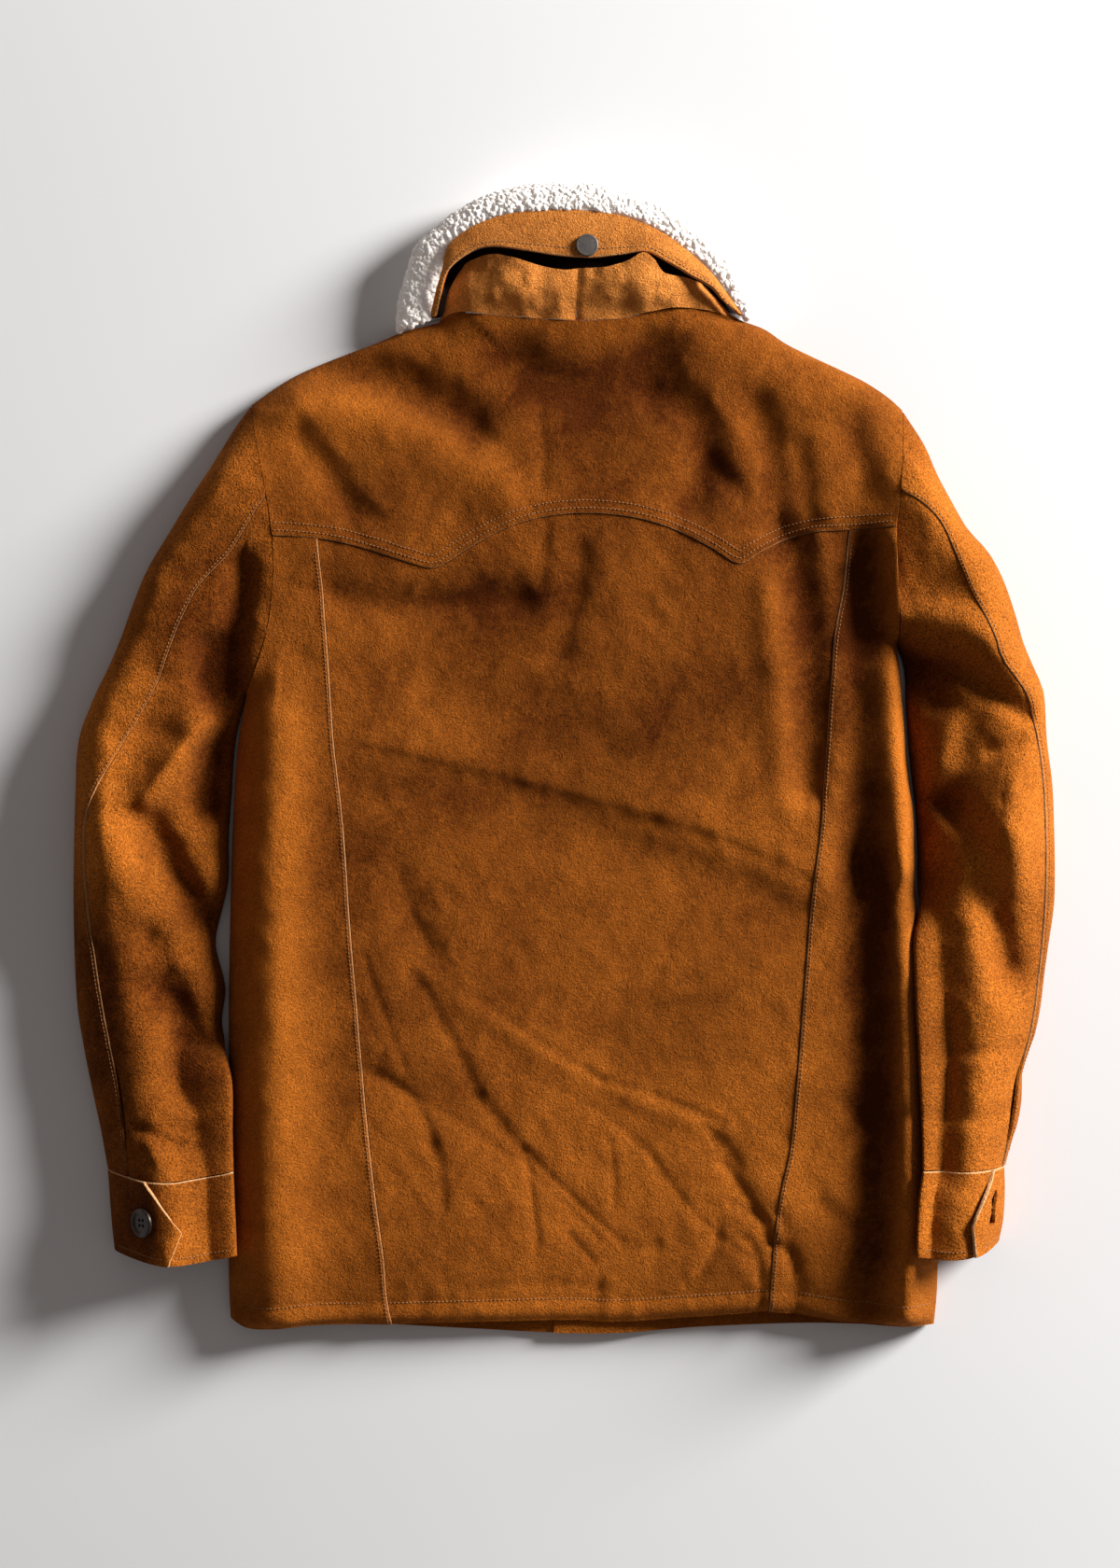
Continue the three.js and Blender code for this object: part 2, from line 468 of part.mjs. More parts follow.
// Back: yoke, centre and two side panels
const yokeUpper = evened([...LINE.shoulderL].reverse()
  .concat(LINE.neck.slice(1), LINE.shoulderR.slice(1)));
const sideChain = (hand) => evened(chain(`armLower${hand}`, `side${hand}`));
add("back_yoke", wall(flipped(patch([yokeUpper, yokeHem, LINE.armUpperL, LINE.armUpperR],
  [EDGE, SEAM, 0, 0], YOKE_COLUMNS, YOKE_ROWS, backTop, 1, lapAt(yokeHem, 16))), WALL), SUEDE);
add("back_centre", wall(flipped(patch([LINE.yokeM, LINE.hemM, LINE.princessL, LINE.princessR],
  [SEAM / 2, 0, SEAM * 1.9, SEAM * 1.9], CENTRE_COLUMNS, steps(24), backTop, 1)), WALL), SUEDE);
add("back_side_left", wall(flipped(patch([LINE.yokeL, LINE.hemL, sideChain("L"), LINE.princessL],
  [SEAM / 2, 0, EDGE, 0], SIDE_COLUMNS, sideRows("L"), backTop, 1,
  lapAt(LINE.princessL, 14))), WALL), SUEDE);
add("back_side_right", wall(flipped(patch([LINE.yokeR, LINE.hemR, LINE.princessR, sideChain("R")],
  [SEAM / 2, 0, 0, EDGE], mirrored(SIDE_COLUMNS), sideRows("R"), backTop, 1,
  lapAt(LINE.princessR, 14))), WALL), SUEDE);

// Fronts, flat on the floor; the right one laps over the left one inside the jacket
function frontGrid(hand) {
  const left = hand === "L";
  const armSide = evened(chain(`armUpper${hand}`, `armLower${hand}`, `side${hand}`));
  const shoulder = LINE[`shoulder${hand}`];
  const middle = PLACKET_X + (left ? PLACKET : -PLACKET);
  const neckEnd = lookUp(LINE.frontNeck.map((p) => [p.x, p.y]), middle);
  const hemEnd = lookUp(LINE.hemFront.map((p) => [p.x, p.y]), middle);
  const inNeck = (p) => (left ? p.x < middle : p.x > middle);
  const end = (y) => [new THREE.Vector3(middle, y, 0)];
  const top = left
    ? evened([...shoulder].reverse().concat(LINE.frontNeck.slice(1).filter(inNeck), end(neckEnd)))
    : evened(end(neckEnd).concat(LINE.frontNeck.slice(0, -1).filter(inNeck), shoulder));
  const bottom = left
    ? evened(LINE.hemFront.filter(inNeck).concat(end(hemEnd)))
    : evened(end(hemEnd).concat(LINE.hemFront.filter(inNeck)));
  const centre = [0, 1].map((k) => new THREE.Vector3(middle, k ? hemEnd : neckEnd, 0));
  const over = left ? 0 : WALL + 2 * SEAM;
  const height = (x, y) => frontBottom(x, y) + over * ease((PLACKET_X + 90 - x) / 50);
  const upper = lengthOf(LINE[`armUpper${hand}`]) / lengthOf(armSide);
  const rows = [...YOKE_ROWS.slice(0, -1).map((v) => v * upper),
    ...sideRows(hand).filter((v, i) => i < 6 || i % 3 === 0).map((v) => upper + v * (1 - upper))];
  const columns = [0, 0.006, 0.018, 0.04, 0.12, 0.4, 0.65, 0.75, 0.83, 0.91, 1];
  return left
    ? patch([top, bottom, armSide, centre], [EDGE, 0, EDGE, 0], columns, rows, height, -1)
    : patch([top, bottom, centre, armSide], [EDGE, 0, 0, EDGE], mirrored(columns), rows,
      height, -1);
}
add("front_left", wall(frontGrid("L"), WALL), SUEDE);
add("front_right", wall(frontGrid("R"), WALL), SUEDE);

// Sleeves: stations from the shoulder tip to the cuff, with the shares of the sleeve's length at
// which the seam leaves the armhole and the armpit is reached
const STATIONS = { L: { seam: 0.13, pit: 0.4 }, R: { seam: 0.12, pit: 0.335 } };
const ARMHOLE = {};
for (const hand of ["L", "R"]) {
  const upper = lengthOf(LINE[`armUpper${hand}`]);
  const share = upper / (upper + lengthOf(LINE[`armLower${hand}`]));
  const cut = SEAM_ROW * share;
  const { seam, pit } = STATIONS[hand];
  const shares = [...YOKE_ROWS.slice(1).map((v) => v * share),
    ...steps(5).slice(1).map((v) => share + v * (1 - share))];
  ARMHOLE[hand] = {
    cut,
    line: evened(chain(`armUpper${hand}`, `armLower${hand}`)),
    rows: shares.map((a) => (a <= cut + 1e-9 ? (a / cut) * seam
      : seam + ((a - cut) / (1 - cut)) * (pit - seam))),
  };
}

for (const hand of ["L", "R"]) {
  const start = along(LINE[`armUpper${hand}`], SEAM_ROW);
  LINE[`seam${hand}`] = smoothLine([start.toArray(), ...OUTLINE[`seam${hand}`].slice(1)], 60);
}

function station(hand, t) {
  const { seam, pit } = STATIONS[hand];
  const { cut, line } = ARMHOLE[hand];
  const outer = along(LINE[`out${hand}`], t);
  const hole = t < seam ? (t / seam) * cut : mix(cut, 1, (t - seam) / (pit - seam));
  const inner = t <= pit ? along(line, hole) : along(LINE[`in${hand}`], (t - pit) / (1 - pit));
  const middle = t <= seam ? inner : along(LINE[`seam${hand}`], (t - seam) / (1 - seam));
  return { outer, inner, middle };
}

// Depth of the bow of the seam above the cuff and of the cuff's lower edge
const CUFF_SAG = { L: [6.5, 6.5], R: [1, 6] };

// Points from a to b pulled in by the gaps, with the bow of the cuff seam near share 1.
function across(hand, t, from, to, gapFrom, gapTo, shares) {
  const { outer, inner } = station(hand, t);
  const width = from.distanceTo(to);
  const sag = CUFF_SAG[hand][0] * ease((t - 0.9) / 0.1);
  return shares.map((share) => {
    const p = from.clone().lerp(to, clamp(share, gapFrom / width, 1 - gapTo / width));
    p.y -= sag * Math.sin(Math.PI * clamp(p.distanceTo(outer) / outer.distanceTo(inner)));
    return p;
  });
}

function sleevePiece(hand, part, rows, shares, underShares) {
  const { seam, pit } = STATIONS[hand];
  const lift = part === "outer" ? lapAt(LINE[`seam${hand}`], 12) : undefined;
  const top = (x, y) => sleeveTop(hand, x, y);
  const bottom = (x, y) => sleeveBottom(hand, x, y);
  const grid = rows.map((t) => {
    const { outer, inner, middle } = station(hand, t);
    const rim = part === "outer" ? outer : inner;
    const rimGap = part === "inner" && t < pit + 1e-6 ? 2 * SEAM : EDGE;
    const seamGap = SEAM * (part === "outer" && t <= seam ? 1.4 : 1.1);
    const over = across(hand, t, middle, rim, seamGap, rimGap, mirrored(shares));
    const under = across(hand, t, rim, middle, rimGap, seamGap, underShares);
    return [...over.map((p) => onSurface(top, p.x, p.y, 1, lift)),
      ...under.map((p) => onSurface(bottom, p.x, p.y, -1))];
  });
  const turn = shares.length - 1; // the column of cells that goes round the outline
  const last = grid[0].length - 2;
  const turned = (hand === "L") !== (part === "outer");
  const has = (i, j) => part === "outer" || (turned ? last - j : j) !== turn
    || rows[i] >= pit - 1e-9;
  return wall(turned ? flipped(grid) : grid, WALL, has);
}

for (const hand of ["L", "R"]) {
  const { seam, pit } = STATIONS[hand];
  const name = hand === "L" ? "left" : "right";
  const rows = [...ARMHOLE[hand].rows, ...steps(16, 1, pit, 1).slice(1)];
  add(`sleeve_outer_${name}`, sleevePiece(hand, "outer", rows, steps(8, 1.6), steps(4, 1.4)),
    SLEEVE_SUEDE);
  add(`sleeve_inner_${name}`, sleevePiece(hand, "inner",
    [seam + 0.014, ...rows.filter((t) => t > seam + 0.02)], steps(8, 1.3), steps(5, 1.4)),
  SLEEVE_SUEDE);
}

// Cuffs: one strip from the tab on the outer side round the underside to the end by the tab
function cuffPoint(hand, f, v) {
  const p = along(LINE[`cuffOut${hand}`], v).lerp(along(LINE[`cuffIn${hand}`], v), f);
  const [above, below] = CUFF_SAG[hand];
  p.y -= mix(above, below, v) * Math.sin(Math.PI * f) + 0.8 * (1 - v);
  return p;
}
const cuffTop = (hand, rise, reach) => (x, y) => sleeveTop(hand, x, y) + LAP
  + rise * ease(distance(OUTER[hand][0][0], x, y) / reach);

function cuffGrid(hand) {
  const tab = hand === "L" ? TAB_L : TAB_R;
  const tabTop = cuffTop(hand, hand === "L" ? WALL + 0.5 : 3, hand === "L" ? 17 : 14);
  const plainTop = cuffTop(hand, 0, 1);
  const under = (x, y) => sleeveBottom(hand, x, y);
  const rows = [0, 0.12, 0.35, 0.62, 0.8, 1];
  const grid = rows.map((v) => {
    const edge = lookUp(tab, v);
    const end = hand === "L" ? Math.max(edge - 0.12, 0.21) : edge + 0.1;
    const rim = EDGE / 90;
    const overTab = [1, 0.86, 0.7, 0.5, 0.32, 0.17, 0.07, 0.02, 0].map((s) => rim + s * (edge - rim));
    const below = [0, 0.03, 0.08, 0.3, 0.6, 0.84, 0.93, 0.975, 1]
      .map((s) => clamp(s, rim, 1 - rim));
    const back = [0, 0.015, 0.05, 0.12, 0.23, 0.38, 0.6, 0.8, 1]
      .map((s) => mix(1 - rim, end, s));
    const on = (height, way) => (f) => {
      const p = cuffPoint(hand, f, v);
      return onSurface(height, p.x, p.y, way);
    };
    return [...overTab.map(on(tabTop, 1)), ...below.map(on(under, -1)),
      ...back.map(on(plainTop, 1))];
  });
  return hand === "L" ? grid : flipped(grid);
}

function disc(radius, thickness, dome) {
  const profile = [[0, 0], [radius * 0.94, 0], [radius, thickness * 0.25],
    [radius, thickness * 0.65], [radius * 0.9, thickness], [0, thickness + dome]];
  const points = profile.map(([x, y]) => new THREE.Vector2(x, y));
  return new THREE.LatheGeometry(points, 18).rotateX(Math.PI / 2);
}

// A disc on a surface point, its axis along the normal.
function addDisc(name, geometry, { point, normal }, material) {
  const mesh = add(name, geometry, material);
  mesh.quaternion.setFromUnitVectors(new THREE.Vector3(0, 0, 1), normal);
  mesh.position.copy(point).addScaledVector(normal, 2 * SEAM);
  return mesh;
}

const CUFF_BUTTON = { L: [-299.8, -329.8], R: [307.5, -320] };
for (const hand of ["L", "R"]) {
  const name = hand === "L" ? "left" : "right";
  add(`cuff_${name}`, wall(cuffGrid(hand), WALL), SLEEVE_SUEDE);
  const height = cuffTop(hand, hand === "L" ? WALL + 0.5 : 3, hand === "L" ? 17 : 14);
  addDisc(`cuff_button_${name}`, disc(BUTTON_R, BUTTON_T, 0),
    onSurface(height, ...CUFF_BUTTON[hand], 1), HORN);
}

// Front buttons, under the overlap
FRONT_BUTTONS.forEach((y, i) => {
  const mesh = add(`front_button_${i + 1}`, disc(BUTTON_R, BUTTON_T, 0), HORN);
  mesh.position.set(PLACKET_X, y, 0);
});

// Collar stand in two halves that meet at the centre back
const NECK_MIDDLE = [8.7, 316.3];
const standTop = (x, y) => backTop(x, y) + 8 * ease((y - 316) / 30);
function standGrid(hand) {
  const left = hand === "L";
  const centre = (x, y) => new THREE.Vector3(x, y, 0);
  const seamTop = OUTLINE.standTopL.at(-1);
  const middle = [centre(...seamTop), centre(...NECK_MIDDLE)];
  const yokeEdge = YOKE_COLUMNS.map((u) => along(yokeUpper, u));
  const [start, end] = left ? [OUTLINE.neck[0], NECK_MIDDLE] : [NECK_MIDDLE, OUTLINE.neck.at(-1)];
  const between = yokeEdge.filter((p) => p.x > start[0] + 1 && p.x < end[0] - 1);
  const neck = evened([centre(...start), ...between, centre(...end)]);
  const side = [...LINE[`stand${hand}`]].reverse();
  const gap = SEAM * 3.2;
  return left
    ? patch([LINE.standTopL, neck, side, middle], [0, gap, EDGE, gap / 2],
      steps(9, 1.4), steps(5), standTop, 1)
    : patch([LINE.standTopR, neck, middle, side], [0, gap, gap / 2, EDGE],
      mirrored(steps(9, 1.4)), steps(5), standTop, 1);
}
add("collar_stand_left", wall(flipped(standGrid("L")), WALL), COLLAR_SUEDE);
add("collar_stand_right", wall(flipped(standGrid("R")), WALL), COLLAR_SUEDE);

// Grid of points with normals worked out from their neighbours.
function withNormals(points) {
  return points.map((row, i) => row.map((point, j) => {
    const down = points[Math.min(points.length - 1, i + 1)][j].clone()
      .sub(points[Math.max(0, i - 1)][j]);
    const right = row[Math.min(row.length - 1, j + 1)].clone().sub(row[Math.max(0, j - 1)]);
    return { point, normal: down.cross(right).normalize() };
  }));
}

// Collar band over the fleece, from its outer edge to its free edge
const bandOuter = smoothLine(BAND.map((r) => r.slice(0, 3)), 28);
const bandFree = smoothLine(BAND.map((r) => r.slice(3)), 28);
const bandPoints = bandOuter.map((p, i) => steps(3).map((c) => {
  const q = p.clone().lerp(bandFree[i], c);
  q.z += 1.2 * Math.sin(Math.PI * c);
  return q;
}));
const bandGrid = withNormals(bandPoints);
add("collar_band", wall(flipped(bandGrid), BAND_WALL), COLLAR_SUEDE);

// Fleece of the collar: a roll from shoulder to shoulder round the back of the neck
const fleeceOuter = smoothLine(FLEECE.map(([x, y]) => [x, y]), 32);
const fleeceInner = smoothLine(FLEECE.map((r) => [r[2], r[3]]), 32);
const fleeceTops = smoothLine(FLEECE.map((r, i) => [i, r[4]]), 32);
function fleeceRoll() {
  const around = 14;
  const points = fleeceOuter.flatMap((outer, i) => {
    const inner = fleeceInner[i];
    const half = fleeceTops[i].y / 2;
    return Array.from({ length: around }, (_, k) => {
      const angle = (2 * Math.PI * k) / around;
      const c = Math.sign(Math.cos(angle)) * Math.abs(Math.cos(angle)) ** 0.8;
      const s = Math.sign(Math.sin(angle)) * Math.abs(Math.sin(angle)) ** 0.8;
      const p = inner.clone().lerp(outer, 0.5 + 0.5 * c);
      p.z = half + (half - 0.1) * s;
      return p;
    });
  });
  const triangles = [];
  const rows = fleeceOuter.length;
  for (let i = 0; i + 1 < rows; i += 1) {
    for (let k = 0; k < around; k += 1) {
      const a = i * around + k;
      const b = i * around + ((k + 1) % around);
      triangles.push([a, b, a + around], [b, b + around, a + around]);
    }
  }
  for (let k = 1; k + 1 < around; k += 1) {
    const z = (rows - 1) * around;
    triangles.push([0, k + 1, k], [z, z + k, z + k + 1]);
  }
  return solid(points, triangles);
}
add("collar_fleece", fleeceRoll(), FLEECE_WHITE);

// Snap on the band
const SNAP_X = 16.5;
const snapRow = bandPoints.findIndex((row) => row[2].x > SNAP_X);
addDisc("collar_snap", disc(SNAP_R, 1.6, 1.2), bandGrid[snapRow][2], GUNMETAL);

// The origin is at the middle of the bounding box's bottom
const box = new THREE.Box3().setFromObject(jacket);
jacket.position.set(-(box.min.x + box.max.x) / 2, -(box.min.y + box.max.y) / 2, 0);

export default jacket;
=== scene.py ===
"""Suede jacket with a shearling collar, laid face down: its cloth, seams, fleece and fastenings.

Lengths are in millimetres in the tables and the surface functions, and in metres in the meshes.
"""
import math

import bpy
import numpy as np
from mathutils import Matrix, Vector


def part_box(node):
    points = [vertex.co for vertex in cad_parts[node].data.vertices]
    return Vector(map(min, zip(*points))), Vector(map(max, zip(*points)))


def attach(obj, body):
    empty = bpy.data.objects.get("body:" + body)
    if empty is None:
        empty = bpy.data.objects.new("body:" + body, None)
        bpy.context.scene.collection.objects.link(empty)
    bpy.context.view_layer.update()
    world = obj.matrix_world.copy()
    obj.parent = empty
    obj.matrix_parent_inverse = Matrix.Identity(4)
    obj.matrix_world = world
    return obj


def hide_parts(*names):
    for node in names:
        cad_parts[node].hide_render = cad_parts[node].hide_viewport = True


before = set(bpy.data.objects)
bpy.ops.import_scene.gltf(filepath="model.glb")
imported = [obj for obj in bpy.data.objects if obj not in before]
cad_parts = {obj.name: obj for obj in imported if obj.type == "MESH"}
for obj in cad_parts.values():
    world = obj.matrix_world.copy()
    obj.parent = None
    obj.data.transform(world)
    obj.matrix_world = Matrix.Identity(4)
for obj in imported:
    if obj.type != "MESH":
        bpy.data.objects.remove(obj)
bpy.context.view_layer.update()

bl_info = {
    "name": "Suede jacket laid flat",
    "version": (1, 0, 0),
    "blender": (4, 5, 0),
    "location": "3D View > Sidebar > Jacket",
    "description": "Cloth, seams, fleece and fastenings of a suede jacket round its solids",
    "category": "Add Mesh",
}

# Sizes shared with the solids
WALL = 2.2  # suede and lining of one panel
SEAM = 0.3  # gap left at each seam
LAP = 1.2  # rise of a panel that laps over its neighbour
EDGE_Z = 5.0  # height of the side, shoulder and sleeve outlines above the floor
LIP = 8.0  # radius of the turned-up edge of the underside
ROLL = 42.0  # width over which the top side rounds down to an outline
ROLL_POWER = 2.2
LOFT = 30.0  # general height of the top side
PLACKET = 15.0  # half width of the front overlap
PLACKET_X = 8.0  # middle of the front overlap
BUTTON_R = 10.5
BUTTON_T = 3.0
BAND_WALL = 2.6
EDGE = 0.003  # how far inside an outline its last points lie
FRONT_BUTTONS = [190, 80, -30, -140, -250]
CUFF_SAG = {"l": (6.5, 6.5), "r": (1.0, 6.0)}  # bow of the cuff's seam and of its lower edge
# Rise of each cuff tab, and the width from the outline inwards over which it rises
TAB_RISE = {"l": (4.0, 50), "r": (7.0, 20)}
CUFF_BUTTON = {"l": (-299.8, -329.8), "r": (307.5, -320.0)}
NECK_MIDDLE = (8.7, 316.3)
SNAP_X = 16.5
STATIONS = {"l": (0.13, 0.4), "r": (0.12, 0.335)}  # shares at the seam's start and the armpit
SEAM_ROW = 0.7  # share of the yoke's armhole edge at which the sleeve seam starts
SIDE_WORD = {"l": "left", "r": "right"}

# Pointed cuff tabs, rows of share of the cuff's depth, share of its width from the outer side
TABS = {
    "l": [[0, 0.33], [0.05, 0.35], [0.6, 0.61], [1, 0.49]],
    "r": [[0, 0.17], [0.12, 0.2], [0.62, 0.42], [1, 0.34]],
}

# Outlines and seams of the laid jacket, rows of x, y
OUTLINE = {
    "shoulder_l": [[-90.2, 317.7], [-117.8, 310.3], [-137.3, 302.2], [-164.2, 292.1], [-191.1, 280.6],
        [-207.3, 271.2], [-226.1, 257.8]],
    "shoulder_r": [[129.2, 319], [145.4, 312.9], [160.2, 302.9], [179, 293.4], [199.2, 284],
        [219.4, 273.9], [236.2, 262.5], [245, 254.4]],
    "neck": [[-90.2, 317.7], [-80.1, 322.4], [-58.6, 321], [-18.8, 317.7], [8.7, 316.3], [40.4, 317.7],
        [59.9, 321.7], [80.1, 325.1], [99.6, 324.4], [129.2, 319]],
    "front_neck": [[-90.2, 317.7], [-72, 288], [-45, 262], [-10, 246], [20, 243], [52, 250], [85, 268],
        [110, 292], [129.2, 319]],
    "stand_l": [[-90.2, 317.7], [-86.5, 326], [-84.5, 336], [-79.8, 346], [-72, 358]],
    "stand_r": [[129.2, 319], [121, 323.5], [113, 331.5], [101, 343.5]],
    "arm_upper_l": [[-226.1, 257.8], [-222.8, 238.9], [-217.4, 212], [-212.7, 185.1], [-209.3, 161.5]],
    "arm_lower_l": [[-209.3, 161.5], [-208.6, 144.7], [-210, 117.8], [-214, 90.9], [-221.4, 67.3],
        [-230.2, 47.1]],
    "arm_upper_r": [[245, 254.4], [244.3, 232.2], [242.3, 207.3], [240.3, 181.7], [238.2, 167.6]],
    "arm_lower_r": [[238.2, 167.6], [238.2, 148.7], [239.6, 119.8], [240.9, 101], [240.9, 84.1]],
    "side_l": [[-230.2, 47.1], [-235.6, 16.8], [-238.9, -23.6], [-240.9, -77.4], [-242.5, -144.7],
        [-243, -191.8], [-241.6, -259], [-242.3, -326], [-243, -360], [-242.3, -390.3],
        [-241.6, -403.1]],
    "side_r": [[240.9, 84.1], [243, 68.6], [245.6, 37], [248.3, 4], [253.4, -39], [254.4, -63.9],
        [254.6, -90.9], [257.8, -127.2], [262.5, -164.9], [265.8, -212], [268.5, -265.8],
        [270.5, -319.7], [271.2, -362.1], [270.5, -387], [268.5, -407.8]],
    "out_l": [[-226.1, 257.8], [-237.6, 242.3], [-255.1, 213.3], [-269.9, 191.1], [-284.7, 166.9],
        [-302.2, 137.3], [-312.3, 112.4], [-321, 88.2], [-329.8, 67.3], [-338.5, 49.8],
        [-344.6, 35], [-350, 20.9], [-352.7, 4], [-353.3, -18.8], [-354, -57.9], [-354.7, -88.8],
        [-354.7, -119.1], [-354, -150.1], [-352, -181], [-349.3, -197.9], [-344.6, -223.4],
        [-339.2, -249], [-334.5, -271.2], [-330.4, -294.1]],
    "in_l": [[-230.2, 47.1], [-237.6, 16.8], [-240.9, -23.6], [-243, -57.2], [-243.6, -88.8],
        [-251.7, -124.5], [-252.4, -134.6], [-246.5, -158.2], [-245.4, -168.2], [-248, -188.4],
        [-245, -205], [-242, -215], [-238.2, -229.5], [-237.6, -268.5], [-236.9, -294.1]],
    "out_r": [[245, 254.4], [261.8, 228.1], [270.5, 207.3], [282, 185.7], [292.1, 168.2],
        [306.9, 152.1], [315.6, 137.3], [321.7, 122.5], [327.8, 103.6], [333.1, 84.8],
        [339.2, 70], [346.6, 52.5], [347.9, 43.7], [349.3, 14.8], [353.3, -16.2], [354.7, -49.8],
        [355.3, -80.8], [354.7, -104.3], [350.6, -131.9], [347.3, -154.8], [344.6, -178.3],
        [340.5, -197.9], [333.8, -215.4], [331.1, -225.5], [331.1, -243], [328.4, -260.5],
        [322.4, -278.6], [319, -292]],
    "in_r": [[240.9, 84.1], [246.4, 68.6], [248.2, 37], [250.6, 4], [255.2, -39], [256.3, -63.9],
        [256.5, -90.9], [256.8, -104], [253.8, -116], [250.7, -126], [250.4, -150.1],
        [251, -178.3], [253, -212], [253.7, -230.2], [255.1, -259.1], [255.7, -292]],
    "cuff_out_l": [[-330.4, -294.1], [-329.4, -307], [-327.5, -333], [-325.4, -353]],
    "cuff_in_l": [[-236.9, -294.1], [-236, -315], [-235, -335], [-234.2, -354.7]],
    "cuff_out_r": [[319, -292], [319.5, -310], [318.3, -332], [315.5, -346]],
    "cuff_in_r": [[255.7, -292], [252.5, -315], [251.5, -335], [251, -353.3]],
    "seam_l": [[-212.7, 188.4], [-222.8, 176.3], [-229.5, 164.9], [-238.2, 151.4], [-250.4, 138],
        [-261.1, 126.5], [-269.9, 111], [-278.6, 90.9], [-284.7, 74], [-289.4, 60.6],
        [-295.4, 47.1], [-304.9, 30.3], [-312.9, 16.8], [-322.4, 0], [-332.5, -18.2],
        [-339.9, -35.7], [-341.9, -50.5], [-341.9, -77.4], [-339.9, -111], [-335.2, -144.7],
        [-329.8, -178.3], [-323, -212], [-317.7, -238.9], [-314.3, -265.8], [-312.3, -294.1]],
    "seam_r": [[242.1, 198.5], [256.4, 184.4], [269.9, 170.3], [280, 148.1], [290.1, 123.2],
        [301.5, 101], [308.2, 84.1], [310.9, 74], [320.3, 60.6], [330.4, 47.1], [336.5, 26.9],
        [340.5, 10.1], [343.9, -16.8], [345.2, -50.5], [345.9, -90.9], [344.6, -124.5],
        [341.2, -158.2], [336.5, -191.8], [329.8, -218.7], [325.7, -230.2], [321.7, -259.1],
        [316.3, -292]],
    "yoke_l": [[-209.3, 161.5], [-195, 161], [-177, 159.5]],
    "yoke_m": [[-177, 159.5], [-164.2, 157.5], [-138, 150.8], [-112.4, 142.7], [-92.9, 138.6],
        [-70, 151.4], [-52.5, 161.5], [-35, 169.6], [-18.2, 174.3], [-0.7, 177], [20.9, 177.7],
        [47.8, 175], [69.3, 169.6], [87.5, 162.2], [105.7, 152.8], [126.5, 141.3],
        [141.3, 149.4], [159.5, 158.8], [177.7, 163.5], [205.3, 166]],
    "yoke_r": [[205.3, 166], [220, 167], [238.2, 167.6]],
    "princess_l": [[-177, 159.5], [-174.3, 131.2], [-169.6, 77.4], [-164.9, 10.1], [-158.2, -50.5],
        [-154.1, -111], [-148.7, -175], [-144, -232.2], [-139.3, -279.3], [-134.6, -319.7],
        [-129.2, -360.1], [-127.2, -389.7], [-123.8, -407.2]],
    "princess_r": [[205.3, 166], [200.6, 121.8], [195.2, 94.2], [191.8, 51.1], [189.1, 8.7],
        [184.4, -50.5], [179, -90.9], [175, -136.6], [171.6, -179.7], [166.9, -236.9],
        [162.2, -282.7], [156.1, -309.6], [151.4, -345.9], [148.8, -385], [148.1, -397.7]],
    "hem_l": [[-241.6, -403.1], [-230.2, -409.2], [-211.3, -409.9], [-184, -407.6],
        [-144.7, -407.2], [-123.8, -407.2]],
    "hem_m": [[-123.8, -407.2], [-101, -406.5], [-43.1, -405.1], [10.8, -404.5], [33.7, -405.8],
        [87.5, -402.5], [132.6, -399.1], [148.1, -397.7]],
    "hem_r": [[148.1, -397.7], [168.2, -399.8], [204.6, -405.8], [239.6, -407.8], [268.5, -407.8]],
    "hem_front": [[-241.6, -403.1], [-184.4, -405.5], [-123.8, -409], [-70, -411.9],
        [-2.7, -414.6], [39, -414.6], [105, -410.5], [177.7, -408], [230, -409], [268.5, -407.8]],
    "stand_top_l": [[-72, 358], [-52.5, 362.7], [-35, 359.4], [-18.8, 354.7], [0.7, 351.3],
        [10.8, 352.7]],
    "stand_top_r": [[10.8, 352.7], [30.3, 353.3], [46.4, 358], [57.2, 363.4], [63.9, 359.4],
        [72, 349.3], [87.5, 346.6], [101, 343.5]],
}

